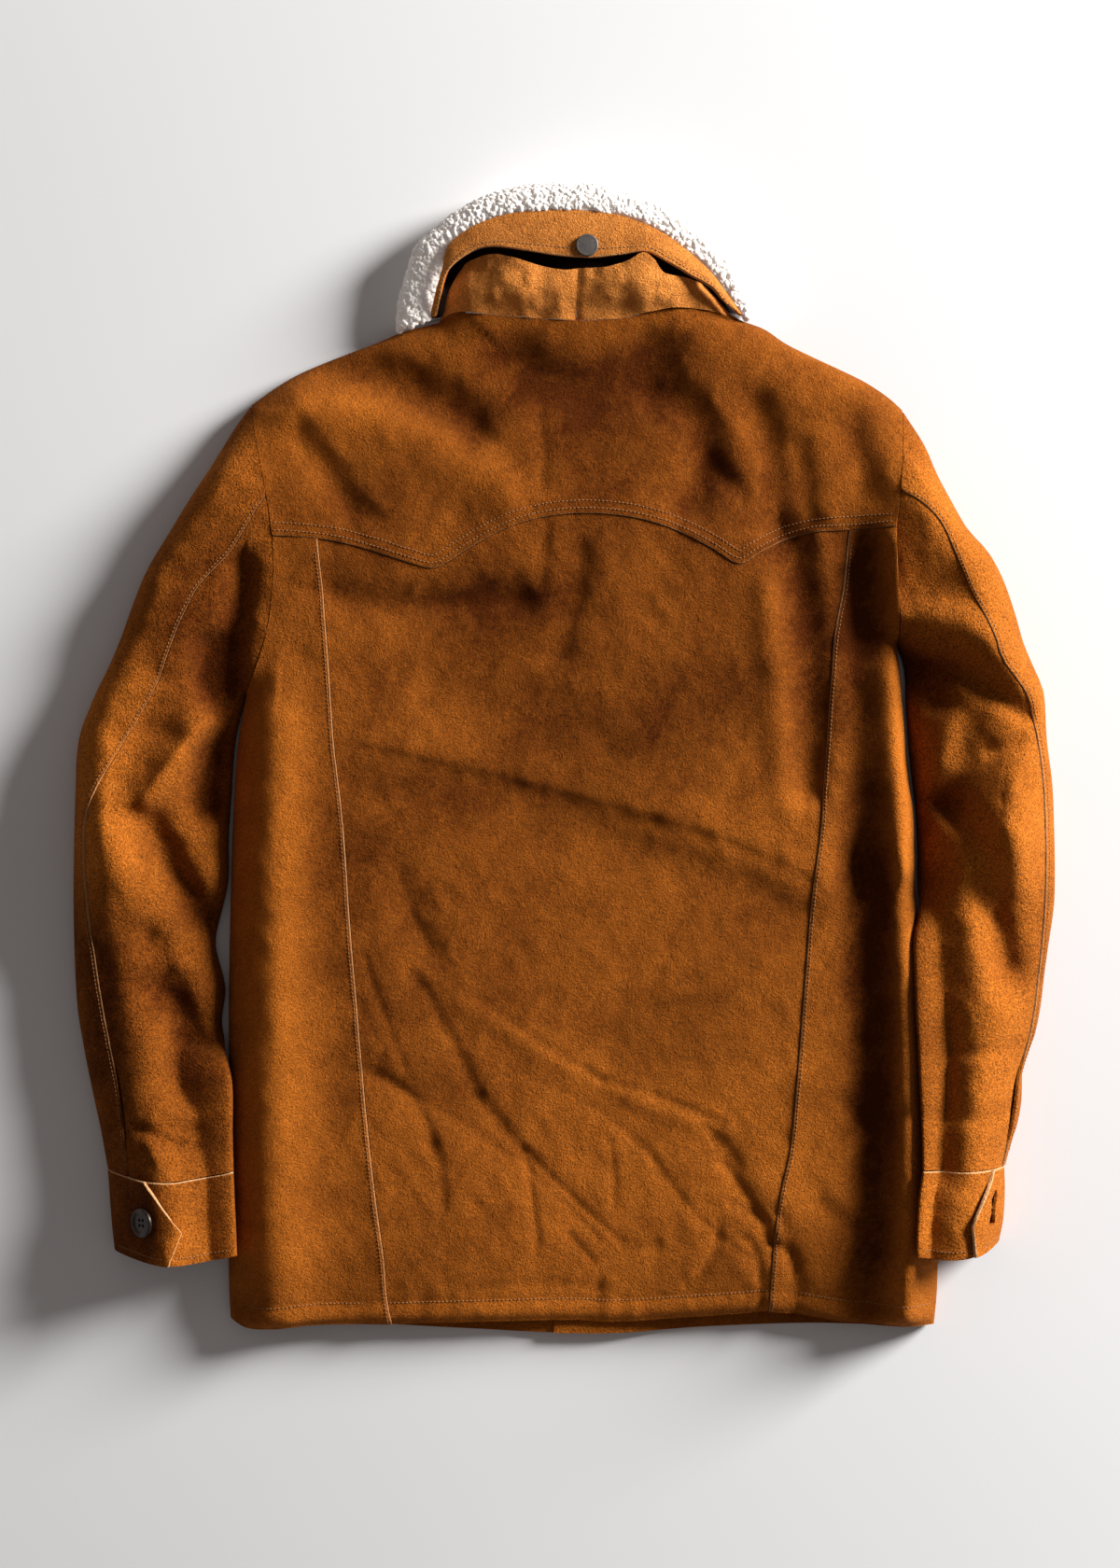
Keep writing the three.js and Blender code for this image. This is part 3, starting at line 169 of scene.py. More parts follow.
# Folds and swells of the top side, rows of
# pieces (A all, B body, L left sleeve, R right sleeve), x and y of the start, middle and end
# of the crest, reach to its left, reach to its right, rise (a valley when below 0)
FOLDS = [
    ["B", -206, 25, -209, -130, -206, -400, 26, 30, 11],
    ["B", 236, 55, 241, -130, 241, -395, 30, 26, 13],
    ["B", -60, 60, 10, -120, 30, -330, 90, 90, -7],
    ["B", -235, -418, 10, -418, 265, -418, 46, 46, -13],
    ["A", -120, 275, 20, 235, 170, 275, 60, 60, -4],
    ["A", -262, 205, -338, 60, -326, -70, 34, 30, 17],
    ["L", -326, -70, -322, -190, -300, -350, 32, 44, 13],
    ["A", 268, 190, 322, 70, 318, -60, 30, 34, 17],
    ["R", 310, -60, 298, -170, 286, -350, 34, 30, 21],
    ["A", -162, 287, -116, 272, -69, 246, 18, 20, -10],
    ["A", -190, 252, -110, 237, -44, 196, 16, 24, 6],
    ["A", -190, 234, -170, 210, -152, 180, 13, 13, -3],
    ["A", -36, 290, 10, 268, 64, 292, 20, 26, -9],
    ["A", 66, 265, 100, 236, 93, 186, 15, 17, -7],
    ["A", 138, 256, 150, 220, 156, 172, 14, 16, -7],
    ["A", 208, 240, 214, 214, 217, 194, 12, 12, -4],
    ["B", -150, 12, 15, -22, 178, -88, 22, 20, 3],
    ["B", -150, -8, 15, -44, 170, -112, 16, 24, -2.5],
    ["B", -170, 120, -120, 112, -30, 118, 14, 18, -5],
    ["B", 164, 155, 176, 86, 176, -18, 14, 18, -8],
    ["B", 147, 120, 154, 30, 160, -30, 13, 12, 4],
    ["B", -69, -178, 20, -228, 112, -266, 11, 9, 1.6],
    ["B", -135, -226, -60, -262, 10, -325, 14, 16, -1.6],
    ["B", -119, -82, -110, -110, -98, -134, 12, 12, -3],
    ["B", 108, -270, 132, -313, 148, -350, 8, 10, -1.6],
    ["B", 154, -350, 168, -365, 167, -398, 9, 9, -2],
    ["L", -252, 78, -250, 20, -256, -30, 14, 14, -16],
    ["L", -258, 27, -280, 4, -299, -30, 14, 14, 10],
    ["L", -299, -42, -284, -74, -258, -112, 13, 14, -14],
    ["L", -292, -164, -280, -190, -272, -232, 14, 13, -11],
    ["R", 244, 101, 290, 92, 349, 42, 15, 17, 11],
    ["R", 246, 62, 262, 58, 272, 44, 14, 14, -16],
    ["R", 280, 50, 274, 20, 258, -34, 12, 12, 8],
    ["R", 256, -36, 290, -50, 318, -150, 16, 16, -15],
    ["R", 270, -196, 268, -250, 268, -290, 14, 14, -8],
]

# Collar fleece from its left end to its right one, rows of
# outer x, y, inner x, y, height of the top
FLEECE = [
    [-119.2, 312.4, -92.6, 319.6, 20], [-118.4, 328.4, -90.8, 329, 26],
    [-112, 352, -87, 344, 30], [-105.7, 370.2, -80, 357, 32], [-92.2, 382.9, -66, 367, 33],
    [-72, 397.7, -52, 371, 34], [-48.5, 408.5, -38, 370, 34], [-18.8, 413.9, -16, 366, 34],
    [12.8, 414.6, 12, 364, 34], [40.4, 409.9, 38, 368, 34], [70, 399.8, 60, 371, 34],
    [95.6, 384.3, 78, 362, 33], [113.7, 366.1, 98, 353, 31], [125.2, 348.6, 111, 344, 28],
    [131.9, 330, 120.5, 331.5, 24], [132.4, 321.6, 127.4, 323.4, 19],
]

# Collar band, rows of outer x, y, z and free-edge x, y, z
BAND = [
    [-96.2, 319.6, 20.6, -91.3, 320.4, 23], [-92.9, 334.5, 27.6, -88.2, 334.5, 31],
    [-87.5, 352.7, 31.1, -84.1, 349.3, 34], [-83.5, 368.8, 32.6, -78.1, 356.7, 37],
    [-72, 378.9, 33.6, -62.6, 366.1, 39], [-58.6, 386.3, 34.1, -48.5, 368.1, 40],
    [-35, 393, 34.4, -28.9, 365.4, 40.4], [-2.7, 395.1, 34.6, -2.7, 361.4, 40.6],
    [20, 393.8, 34.6, 20.9, 360.1, 40.6], [42, 390.5, 34.6, 40.4, 362.1, 40.6],
    [60, 384, 34.4, 59.9, 364.1, 40.4], [76, 375.5, 34, 70, 359.4, 40],
    [93, 362.5, 32.6, 91.5, 347.4, 39], [106, 350.5, 31.1, 107.7, 338.5, 36],
    [117.1, 336.5, 27.1, 115.1, 330, 31], [128.6, 321.6, 20.6, 124, 322.6, 23],
]

# Sharper creases that only the cloth has, rows as in FOLDS
CREASES = [
    ["B", -18.2, 261.1, -15.5, 228.8, -14.8, 195.8, 5, 5, -1.4],
    ["A", 105.7, 218.1, 116.4, 204.6, 127.2, 193.2, 8, 8, -2.6],
    ["A", 170.3, 225.5, 175, 198.5, 177.7, 173, 8, 9, -3.5],
    ["A", -189.8, 233.5, -170.9, 208.6, -152.1, 180.4, 9, 10, -1.8],
    ["B", -12.1, 166.9, -14.8, 148.1, -15.5, 129.9, 6, 6, -1.8],
    ["B", 13.5, 146, 6.1, 112.4, -2, 78.7, 9, 13, -3.2],
    ["B", -168.2, 121.1, -123.8, 109.7, -32.3, 117.8, 10, 9, -1.5],
    ["B", -119.1, -82.1, -110.4, -105.7, -97.6, -133.3, 3.5, 4, -0.6],
    ["B", -143.3, -140.7, -129.2, -183.1, -115.1, -218.7, 3, 4, -1.1],
    ["B", -107.7, -154.8, -84.8, -193.8, -61.2, -240.3, 5, 7, -1.7],
    ["B", -61.2, -240.3, -45.8, -260.5, -29.6, -279.3, 4, 6, -1.3],
    ["B", -61.2, -170.9, -8.1, -208, 27.6, -229.5, 3, 4, -1.1],
    ["B", 27.6, -229.5, 63.3, -240.3, 113.1, -259.8, 3, 5, -1.3],
    ["B", -29.6, -279.3, 2.7, -311.6, 41.7, -347.3, 3, 3, -1.2],
    ["B", -34.3, -283.3, -2.7, -317, 34.3, -352, 3, 3, -0.8],
    ["B", -143.3, -222.8, -111.7, -240.3, -93.5, -275.9, 4, 6, -1.4],
    ["B", -93.5, -275.9, -87.5, -300.8, -86.8, -325.7, 4, 6, -1.2],
    ["B", -25.6, -290.1, -22.2, -319.7, -18.8, -347.3, 3, 4, -1.2],
    ["B", 33, -275.9, 35.7, -294.1, 36.3, -319.7, 3, 4, -0.9],
    ["B", 2.7, -340.5, 10.8, -350, 20.9, -361.4, 3, 3, -1.1],
    ["B", -150.8, 10.1, -43.1, -15.5, 64.6, -43.7, 4, 8, -1.3],
    ["B", 64.6, -43.7, 125.2, -62.6, 180.4, -88.2, 4, 8, -1.3],
    ["B", -29.6, -225.5, 24.2, -252.4, 64.6, -286, 3, 4, -0.7],
    ["B", 64.6, -286, 94.9, -326.4, 131.9, -356.7, 3, 4, -0.9],
    ["B", -134.6, -226.1, -70, -262.5, -39.7, -286, 3, 4, -0.8],
    ["B", 98.9, -261.8, 113.1, -273.9, 125.2, -289.4, 4, 5, -1.2],
    ["B", 115.1, -290.1, 131.2, -311.6, 150.8, -347.3, 3, 4, -1.7],
    ["B", 150.8, -347.3, 165.6, -360.1, 167.6, -399.1, 3, 4, -1.7],
    ["B", 120.5, -319, 133.9, -324.4, 146.7, -331.8, 3.5, 4, -1.5],
    ["B", 129.9, -343.2, 140, -360.1, 142, -390.3, 3.5, 4, -1.7],
    ["B", 155.5, -326.4, 162.2, -346.6, 164.9, -366.8, 3.5, 4, -1.2],
    ["B", -70, -382.9, -29.6, -377.6, 24.2, -380.2, 4, 5, -1.0],
    ["B", 24.2, -380.2, 37.7, -360.1, 68, -346.6, 4, 4, -0.9],
    ["B", 88.2, -377.6, 105, -360.1, 111.7, -333.1, 4, 5, -1.2],
    ["B", 236.2, 154.8, 243.6, 37, 245.6, -77.4, 11, 11, 11],
    ["B", 245.6, -77.4, 248.3, -238.9, 246.3, -393.7, 12, 12, 10],
    ["B", 212.3, 151.4, 214.3, 37, 218.4, -77.4, 18, 17, -10],
    ["B", 218.4, -77.4, 223.7, -232.2, 222.4, -390.3, 20, 18, -10],
    ["B", 202.6, -245.6, 222.8, -259.1, 239.6, -252.4, 7, 7, -3],
    ["B", 185.7, -319.7, 212.7, -333.1, 238.2, -326.4, 7, 7, -3],
    ["L", -230.2, 138, -236.9, 90.9, -240.9, 53.8, 10, 12, -10],
    ["L", -295.4, 60.6, -278.6, 57.2, -261.8, 59.9, 8, 8, -4],
    ["L", -319, 16.8, -292.1, 22.2, -268.5, 10.1, 8, 9, -3],
    ["L", -298.8, -124.5, -273.2, -177, -246.3, -232.2, 9, 11, -5],
    ["L", -331.1, -138, -323, -259.1, -310.9, -387, 15, 13, -6],
    ["L", -288.7, -151.4, -283.3, -272.6, -273.2, -387, 13, 18, 5],
    ["L", -284, -262.5, -263.8, -263.8, -243, -259.1, 5, 5, -2.5],
    ["L", -286.7, -275.3, -265.2, -276.6, -243, -272.6, 5, 5, -2.5],
    ["L", -258.4, 26.9, -280, -2, -299.5, -30.3, 8, 6, 5],
    ["L", -286, -300, -276, -332, -280, -372, 24, 16, 8],
    ["L", -305.5, -263.1, -292, -267.9, -275.9, -275.3, 4, 5, -3.5],
    ["L", -259.8, -263.1, -250.4, -268.5, -240.9, -275.3, 4, 5, -3.5],
    ["R", 268, -262, 263, -320, 262, -380, 16, 20, 7],
    ["R", 246.3, 74, 286.7, 60.6, 330.4, 31.6, 9, 8, -7],
    ["R", 256.4, 84.1, 264.5, 63.9, 269.9, 40.4, 12, 12, 4],
    ["R", 256.4, -36.3, 278.6, -52.5, 288.7, -73.4, 8, 8, 5],
    ["R", 306.2, 7.4, 316.3, 9.4, 325.7, 13.5, 6, 6, -4],
    ["R", 293.4, -97.6, 308.2, -114.4, 319, -144.7, 7, 8, -3],
    ["R", 259.8, -203.9, 296.8, -209.3, 323.7, -203.9, 6, 6, -3],
    ["R", 259.8, -251, 296.8, -256.4, 320.3, -249.7, 6, 6, -3],
]


# Broad patches of painted light (above 0) and painted shade, partly also nap brushed pale or dark,
# rows of x, y, reach across, reach along, change
PAINTED_LIGHT_SHADE_PATCHES = [
    [-165, 228, 50, 34, 0.7], [8, 232, 75, 50, -0.5], [150, 236, 45, 34, 0.3],
    [-10, 82, 160, 90, -0.4], [110, -280, 90, 90, 0.9], [-70, -290, 110, 80, 0.45],
    [0, -388, 190, 36, 0.8], [-214, -60, 22, 110, 1.1], [-214, -260, 22, 110, 0.8],
    [216, 20, 20, 90, -0.9], [224, -150, 20, 100, -1.3], [226, -310, 20, 90, -1.1],
    [-268, 118, 46, 55, -1.1], [-258, -90, 30, 60, 0.2], [300, -250, 30, 70, 0.3],
    [-306, -336, 17, 36, -2.2], [-52, 338, 40, 24, 0.9], [62, 338, 46, 24, 0.7],
]


def clamp(v, lo=0.0, hi=1.0):
    return np.minimum(hi, np.maximum(lo, v))


def mix(a, b, t):
    return a + (b - a) * t


def ease(t):
    """Three t squared less two t cubed, held between 0 and 1."""
    t = clamp(t)
    return t * t * (3 - 2 * t)


def unit(v):
    return v / np.maximum(np.linalg.norm(v, axis=-1, keepdims=True), 1e-12)


def lengths(line):
    """Running length along a line's points."""
    return np.concatenate([[0], np.cumsum(np.linalg.norm(np.diff(line, axis=0), axis=1))])


def evened(line, spans=1200):
    """Points at even steps of length along a line of straight pieces."""
    line = np.asarray(line, float)
    run = lengths(line)
    want = np.linspace(0, run[-1], spans + 1)
    return np.stack([np.interp(want, run, c) for c in line.T], axis=1)


def smooth_line(rows, spans=60):
    """Even points along the centripetal Catmull-Rom curve through rows: each span is the cubic
    through its two ends whose slopes come from neighbours weighted by the root of their gaps."""
    p = np.asarray(rows, float)
    p = np.vstack([2 * p[0] - p[1], p, 2 * p[-1] - p[-2]])
    root = np.sqrt(np.linalg.norm(np.diff(p, axis=0), axis=1))[:, None]
    a, b, c, d = p[:-3], p[1:-2], p[2:-1], p[3:]
    r0, r1, r2 = root[:-2], root[1:-1], root[2:]
    m1 = ((b - a) / r0 - (c - a) / (r0 + r1) + (c - b) / r1) * r1
    m2 = ((c - b) / r1 - (d - b) / (r1 + r2) + (d - c) / r2) * r1
    t = np.linspace(0, 1, 41)[:-1, None, None]
    fine = (b + m1 * t + (3 * (c - b) - 2 * m1 - m2) * t**2 + (2 * (b - c) + m1 + m2) * t**3)
    points = fine.transpose(1, 0, 2).reshape(-1, p.shape[1])
    return evened(np.vstack([points, p[-2]]), spans)


LINE = {name: smooth_line(rows, 240 if name == "yoke_m" else 60) for name, rows in OUTLINE.items()}


def chain(*names):
    """Several outlines that follow each other, as one line."""
    return np.vstack([LINE[name][1 if i else 0:] for i, name in enumerate(names)])


def along(line, t):
    """Points at shares t of an evenly stepped line."""
    at = clamp(np.asarray(t, float)) * (len(line) - 1)
    steps = np.arange(len(line))
    return np.stack([np.interp(at, steps, c) for c in line.T], axis=-1)


def near(line, x, y):
    """Least distance from points to a line in plan, and the cross product that is over 0 where a
    point is to the left of the line's direction."""
    a, d = line[:-1, :2], np.diff(line[:, :2], axis=0)
    size = np.maximum((d**2).sum(1), 1e-12)
    flat_x, flat_y = np.ravel(x), np.ravel(y)
    gap, side = np.empty(flat_x.size), np.empty(flat_x.size)
    for i in range(0, flat_x.size, 4096):
        px, py = flat_x[i:i + 4096, None] - a[:, 0], flat_y[i:i + 4096, None] - a[:, 1]
        t = clamp((px * d[:, 0] + py * d[:, 1]) / size)
        g = (px - t * d[:, 0]) ** 2 + (py - t * d[:, 1]) ** 2
        k = g.argmin(1)
        rows = np.arange(len(k))
        gap[i:i + 4096] = np.sqrt(g[rows, k])
        side[i:i + 4096] = d[k, 0] * py[rows, k] - d[k, 1] * px[rows, k]
    return gap.reshape(np.shape(x)), side.reshape(np.shape(x))


def inside(line, way, x, y):
    """Distance inside an outline whose jacket side is to its left (way 1) or right (way -1),
    below 0 just outside it."""
    gap, side = near(line, x, y)
    return np.where((gap < 0.5) & (side * way < 0), -gap, gap)


def quadratic(x1, y1, xm, ym, x2, y2, spans=8):
    """Points of the quadratic curve that passes its middle point at half its parameter."""
    t = np.linspace(0, 1, spans + 1)[:, None]
    a, m, b = np.array([x1, y1]), np.array([xm, ym]), np.array([x2, y2])
    return (1 - t) ** 2 * a + 2 * (1 - t) * t * (2 * m - (a + b) / 2) + t * t * b


FOLD_LINES = [(row[0], quadratic(*row[1:7]), *row[7:]) for row in FOLDS + CREASES]
RNG = np.random.default_rng(11)
LATTICE = RNG.uniform(-1, 1, (128, 128))


def noise(x, y, size):
    """Smooth value noise between -1 and 1: random lattice values mixed with an S curve."""
    u, v = x / size + 37.3, y / size + 61.7
    i, j = np.floor(u).astype(int), np.floor(v).astype(int)
    f, g = ease(u - i), ease(v - j)
    at = lambda a, b: LATTICE[a % 128, b % 128]
    low = mix(at(i, j), at(i + 1, j), f)
    high = mix(at(i, j + 1), at(i + 1, j + 1), f)
    return mix(low, high, g)


def ridged(x, y, size):
    """Noise whose zero lines become soft creases: one less twice its magnitude."""
    return 1 - 2 * np.abs(noise(x, y, size))


def loft(pieces, x, y):
    """Height without rounded edges: the general height, plus for each fold its rise times the
    exponential of minus the squared share of its reach, plus the hide's small crumples."""
    z = np.full(np.shape(x), LOFT)
    for kind, line, left, right, rise in FOLD_LINES:
        if kind not in ("A", pieces):
            continue
        most = 3 * max(left, right)
        lo, hi = line.min(0) - most, line.max(0) + most
        m = (x > lo[0]) & (x < hi[0]) & (y > lo[1]) & (y < hi[1])
        if m.any():
            gap, side = near(line, x[m], y[m])
            z[m] += rise * np.exp(-((gap / np.where(side > 0, left, right)) ** 2))
    turn = 0.8 * x + 0.6 * y, -0.6 * x + 0.8 * y
    crumple = 0.75 * noise(turn[0], turn[1], 31) + 0.45 * ridged(turn[0], turn[1], 17)
    crumple = crumple + 0.3 * noise(x, y, 8.5)
    return z + crumple * (1.0 if pieces == "B" else 1.5)


def worn(pieces, x, y):
    """Share of the light nap, with wear and painted light and shade: half, more on crests, which are
    rubbed pale, and less in valleys, as painted shade: half plus half the tanh of each narrow fold's
    rise over 16, faded as the fold itself, and of the broad patches of painted light and shade, each a
    bell of its two reaches."""
    total = np.zeros(np.shape(x))
    # painted light and shade in broad patches
    for cx, cy, across_x, along_y, change in PAINTED_LIGHT_SHADE_PATCHES:
        total += change * np.exp(-((x - cx) / across_x) ** 2 - ((y - cy) / along_y) ** 2)
    # crests lighter as wear, valleys darker as painted shade
    for kind, line, left, right, rise in FOLD_LINES:
        if kind in ("A", pieces) and max(left, right) < 40:
            gap, side = near(line, x, y)
            total += rise / 16 * np.exp(-((gap / np.where(side > 0, left, right)) ** 2))
    return 0.5 + 0.5 * np.tanh(total)


def roll(s, reach=ROLL):
    """Share of the full height at distance s inside an outline: a rounded quarter."""
    up = (1 - (1 - clamp(s / reach)) ** ROLL_POWER) ** (1 / ROLL_POWER)
    return np.minimum(0, 0.15 * s) + up


OUTER = {
    "l": [(chain("shoulder_l", "out_l", "cuff_out_l"), 1), (LINE["stand_l"], -1)],
    "r": [(chain("shoulder_r", "out_r", "cuff_out_r"), -1), (LINE["stand_r"], 1)],
}
SLEEVE_IN = {"l": (chain("in_l", "cuff_in_l"), -1), "r": (chain("in_r", "cuff_in_r"), 1)}
OVER = {"l": ("side_l", 1, -190, -208), "r": ("side_r", -1, -85, -108)}


def outer_gap(x, y, hands="lr"):
    return np.minimum.reduce([inside(line, way, x, y) for h in hands for line, way in OUTER[h]])


def side_gap(x, y):
    return np.minimum(inside(LINE["side_l"], 1, x, y), inside(LINE["side_r"], -1, x, y))


def back_top(x, y):
    """Height of the back's outer face: the loft, rounded down to the outlines."""
    hem = near(HEM, x, y)[0]
    welt = 1.1 * np.exp(-(((hem - 8) / 6) ** 2)) - 0.7 * np.exp(-(((hem - 16) / 2.6) ** 2))
    pucker = 0.55 * noise(x, y * 0.3, 9) * np.exp(-(((hem - 12) / 10) ** 2))
    seam = np.minimum.reduce([near(LINE[n], x, y)[0] for n in ("princess_l", "princess_r")])
    pucker = pucker + 0.5 * noise(x * 0.4, y, 11) * np.exp(-((seam / 10) ** 2))
    full = loft("B", x, y) + welt + pucker
    return EDGE_Z + (full - EDGE_Z) * roll(outer_gap(x, y)) * roll(side_gap(x, y)) * (
        1 - 0.22 * (1 - ease(hem / 7)) ** 2)


def edge_x(line, y):
    """x of a side line at height y."""
    order = np.argsort(line[:, 1])
    return np.interp(y, line[order, 1], line[order, 0])


def over_body(hand, x, y):
    """Rise of a sleeve's underside where it lies over the side of the body."""
    name, way, start, full = OVER[hand]
    edge = edge_x(LINE[name], y)
    depth = way * (x - edge) + 2.5
    gate = ease((y - start) / (full - start))
    body = loft("B", edge + way * 22, y) + 1.5
    return gate * (5 * ease(1 + depth / 3.5) + np.where(depth > 0, (body - 5) * roll(depth), 0))


def sleeve_edge(hand, x, y, outer, inner):
    """Height of a sleeve's outline, raised on the inner side where it lies over the body."""
    raised = over_body(hand, edge_x(SLEEVE_IN[hand][0], y), y) + EDGE_Z
    share = np.abs(outer) / (np.abs(outer) + np.abs(inner) + 1e-6)
    return mix(EDGE_Z, raised, share**2)


def sleeve_top(hand, x, y):
    outer, inner = outer_gap(x, y, hand), inside(*SLEEVE_IN[hand], x, y)
    low = sleeve_edge(hand, x, y, outer, inner)
    full = np.maximum(loft(hand.upper(), x, y), low + 12)
    return low + (full - low) * roll(outer) * roll(inner, 36)


def lip(s):
    """Share of the edge height that the underside has: a quarter circle up to the outline."""
    return 1 - np.minimum(0, s) - np.sqrt(1 - (1 - clamp(s / LIP)) ** 2)


def sleeve_bottom(hand, x, y):
    outer, inner = outer_gap(x, y, hand), inside(*SLEEVE_IN[hand], x, y)
    high = sleeve_edge(hand, x, y, outer, inner)
    low = over_body(hand, x, y)
    return low + (high - low) * lip(np.minimum(outer, inner))


def front_bottom(x, y):
    """Underside of the fronts: flat, turned up at the outlines, raised over the buttons."""
    raised = (BUTTON_T + SEAM) * ease((70 - np.abs(x - PLACKET_X)) / 50)
    return raised + (EDGE_Z - SEAM) * lip(np.minimum(side_gap(x, y), outer_gap(x, y)))


def stand_top(x, y):
    """The neck's height plus the rise of the collar stand and its two soft puffs."""
    seam = np.abs(x - mix(8.7, 10.8, (y - 316) / 36))
    puff = 4.0 * np.exp(-(((x + 33) / 26) ** 2)) * ease((y - 318) / 18)
    puff = puff + 4.0 * np.exp(-(((x - 57) / 24) ** 2)) * ease((y - 318) / 18)
    ripple = 1.3 * noise(x, y * 0.35, 12) + 0.6 * noise(x, y, 6)
    return (back_top(x, y) + 8 * ease((y - 316) / 30) + puff + ripple
            - 1.6 * np.exp(-((seam / 3.2) ** 2)))


def on_surface(height, x, y, way=1, lift=None):
    """Points x, y, height, and unit normals from central differences; lift moves them out."""
    e = 0.02
    dx = (height(x + e, y) - height(x - e, y)) / (2 * e)
    dy = (height(x, y + e) - height(x, y - e)) / (2 * e)
    normals = unit(np.stack([-dx, -dy, np.ones_like(dx)], axis=-1)) * way
    points = np.stack([x, y, height(x, y)], axis=-1)
    if lift is not None:
        points = points + normals * lift(x, y)[..., None]
    return points, normals


def lap_at(line, reach):
    """Lift of a lapping panel: LAP times the exponential of minus the squared share of reach."""
    return lambda x, y: LAP * np.exp(-((near(line, x, y)[0] / reach) ** 2))


def shares(length, first=0.45, grow=1.4, most=3.0, fine=(True, True)):
    """Shares from 0 to 1 whose steps start fine at the chosen ends and grow to at most most."""
    def run(on, reach):
        at, step = [0.0], first if on else most
        while at[-1] < reach:
            at.append(at[-1] + step)
            step = min(most, step * grow)
        return np.array(at) / at[-1] * reach
    low, high = run(fine[0], length / 2), run(fine[1], length / 2)
    return np.concatenate([low, length - high[-2::-1]]) / length


def moved(line, by):
    """A line moved sideways in plan, over 0 to the left of its direction."""
    n = np.arange(len(line))
    d = line[np.minimum(n + 1, len(line) - 1)] - line[np.maximum(n - 1, 0)]
    return line + unit(np.stack([-d[:, 1], d[:, 0]], axis=1)) * by


def patch(lines, gaps, us, vs):
    """Coons grid of x, y between a top, bottom, left and right line: both ruled surfaces less the
    corners' own, with each edge pulled in by its gap."""
    ways = (-1, 1, 1, -1)
    pulled = [moved(line, w * g) for line, w, g in zip(lines, ways, gaps)]
    top, bottom = along(lines[0], us)[None], along(lines[1], us)[None]
    left, right = along(lines[2], vs)[:, None], along(lines[3], vs)[:, None]
    u, v = us[None, :, None], vs[:, None, None]
    corners = mix(mix(lines[0][0], lines[0][-1], u), mix(lines[1][0], lines[1][-1], u), v)
    grid = mix(top, bottom, v) + mix(left, right, u) - corners
    pull = [along(p, t) - along(line, t)
            for p, line, t in zip(pulled, lines, (us, us, vs, vs))]
    grid = grid + mix(pull[0][None], pull[1][None], v) + mix(pull[2][:, None], pull[3][:, None], u)
    return grid[..., 0], grid[..., 1]


def wall(points, normals, thickness, has=None):
    """Closed wall behind a grid: the grid, its copy moved in along the normals, and a strip along
    each edge that only one cell has. Returns corners and quads."""
    rows, columns = points.shape[:2]
    ids = np.arange(rows * columns).reshape(rows, columns)
    quads = np.stack([ids[:-1, :-1], ids[:-1, 1:], ids[1:, 1:], ids[1:, :-1]], axis=-1)
    quads = quads.reshape(-1, 4)
    quads = quads if has is None else quads[has]
    n = rows * columns
    edges = np.concatenate([quads[:, [k, (k + 1) % 4]] for k in range(4)])
    keys, back = edges[:, 0] * n + edges[:, 1], edges[:, 1] * n + edges[:, 0]
    rim = edges[~np.isin(keys, back)]
    strip = np.stack([rim[:, 1], rim[:, 0], rim[:, 0] + n, rim[:, 1] + n], axis=1)
    faces = np.concatenate([quads, quads[:, ::-1] + n, strip])
    corners = np.concatenate([points.reshape(-1, 3), (points - normals * thickness).reshape(-1, 3)])
    used, faces = np.unique(faces, return_inverse=True)
    return corners[used], faces.reshape(-1, 4), used


SHIFT = np.array([0.0, 0.0, 0.0])


def make_piece(name, corners, faces, material, replaces=(), values=None, sharp=50):
    """A mesh object at the origin from corners in millimetres, riding on the jacket's body."""
    mesh = bpy.data.meshes.new(name)
    mesh.from_pydata(((corners + SHIFT) * 0.001).tolist(), [], faces.tolist())
    mesh.validate()
    mesh.polygons.foreach_set("use_smooth", np.ones(len(mesh.polygons), bool))
    if sharp:
        mesh.set_sharp_from_angle(angle=math.radians(sharp))
    for key, data in (values or {}).items():
        mesh.attributes.new(key, "FLOAT", "POINT").data.foreach_set(
            "value", np.asarray(data, np.float32))
    mesh.materials.append(material)
    piece = bpy.data.objects.new(name, mesh)
    bpy.context.scene.collection.objects.link(piece)
    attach(piece, "root")
    if replaces:
        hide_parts(*replaces)
    return piece


class Socket:
    """A shader output that can stand in Python expressions; each operator adds one Math node."""

    def __init__(self, finish, output):
        self.finish, self.output = finish, output

    def math(self, operation, *values):
        return self.finish.node("ShaderNodeMath", {"operation": operation}, values)

    def __add__(self, other):
        return self.math("ADD", self, other)

    def __sub__(self, other):
        return self.math("SUBTRACT", self, other)

    def __rsub__(self, other):
        return self.math("SUBTRACT", other, self)

    def __mul__(self, other):
        return self.math("MULTIPLY", self, other)

    def __truediv__(self, other):
        return self.math("DIVIDE", self, other)

    def __pow__(self, other):
        return self.math("POWER", self, other)

    __radd__, __rmul__ = __add__, __mul__

    def held(self):
        """The value kept between 0 and 1."""
        return self.finish.node("ShaderNodeMath", {"operation": "ADD", "use_clamp": True}, (self, 0))


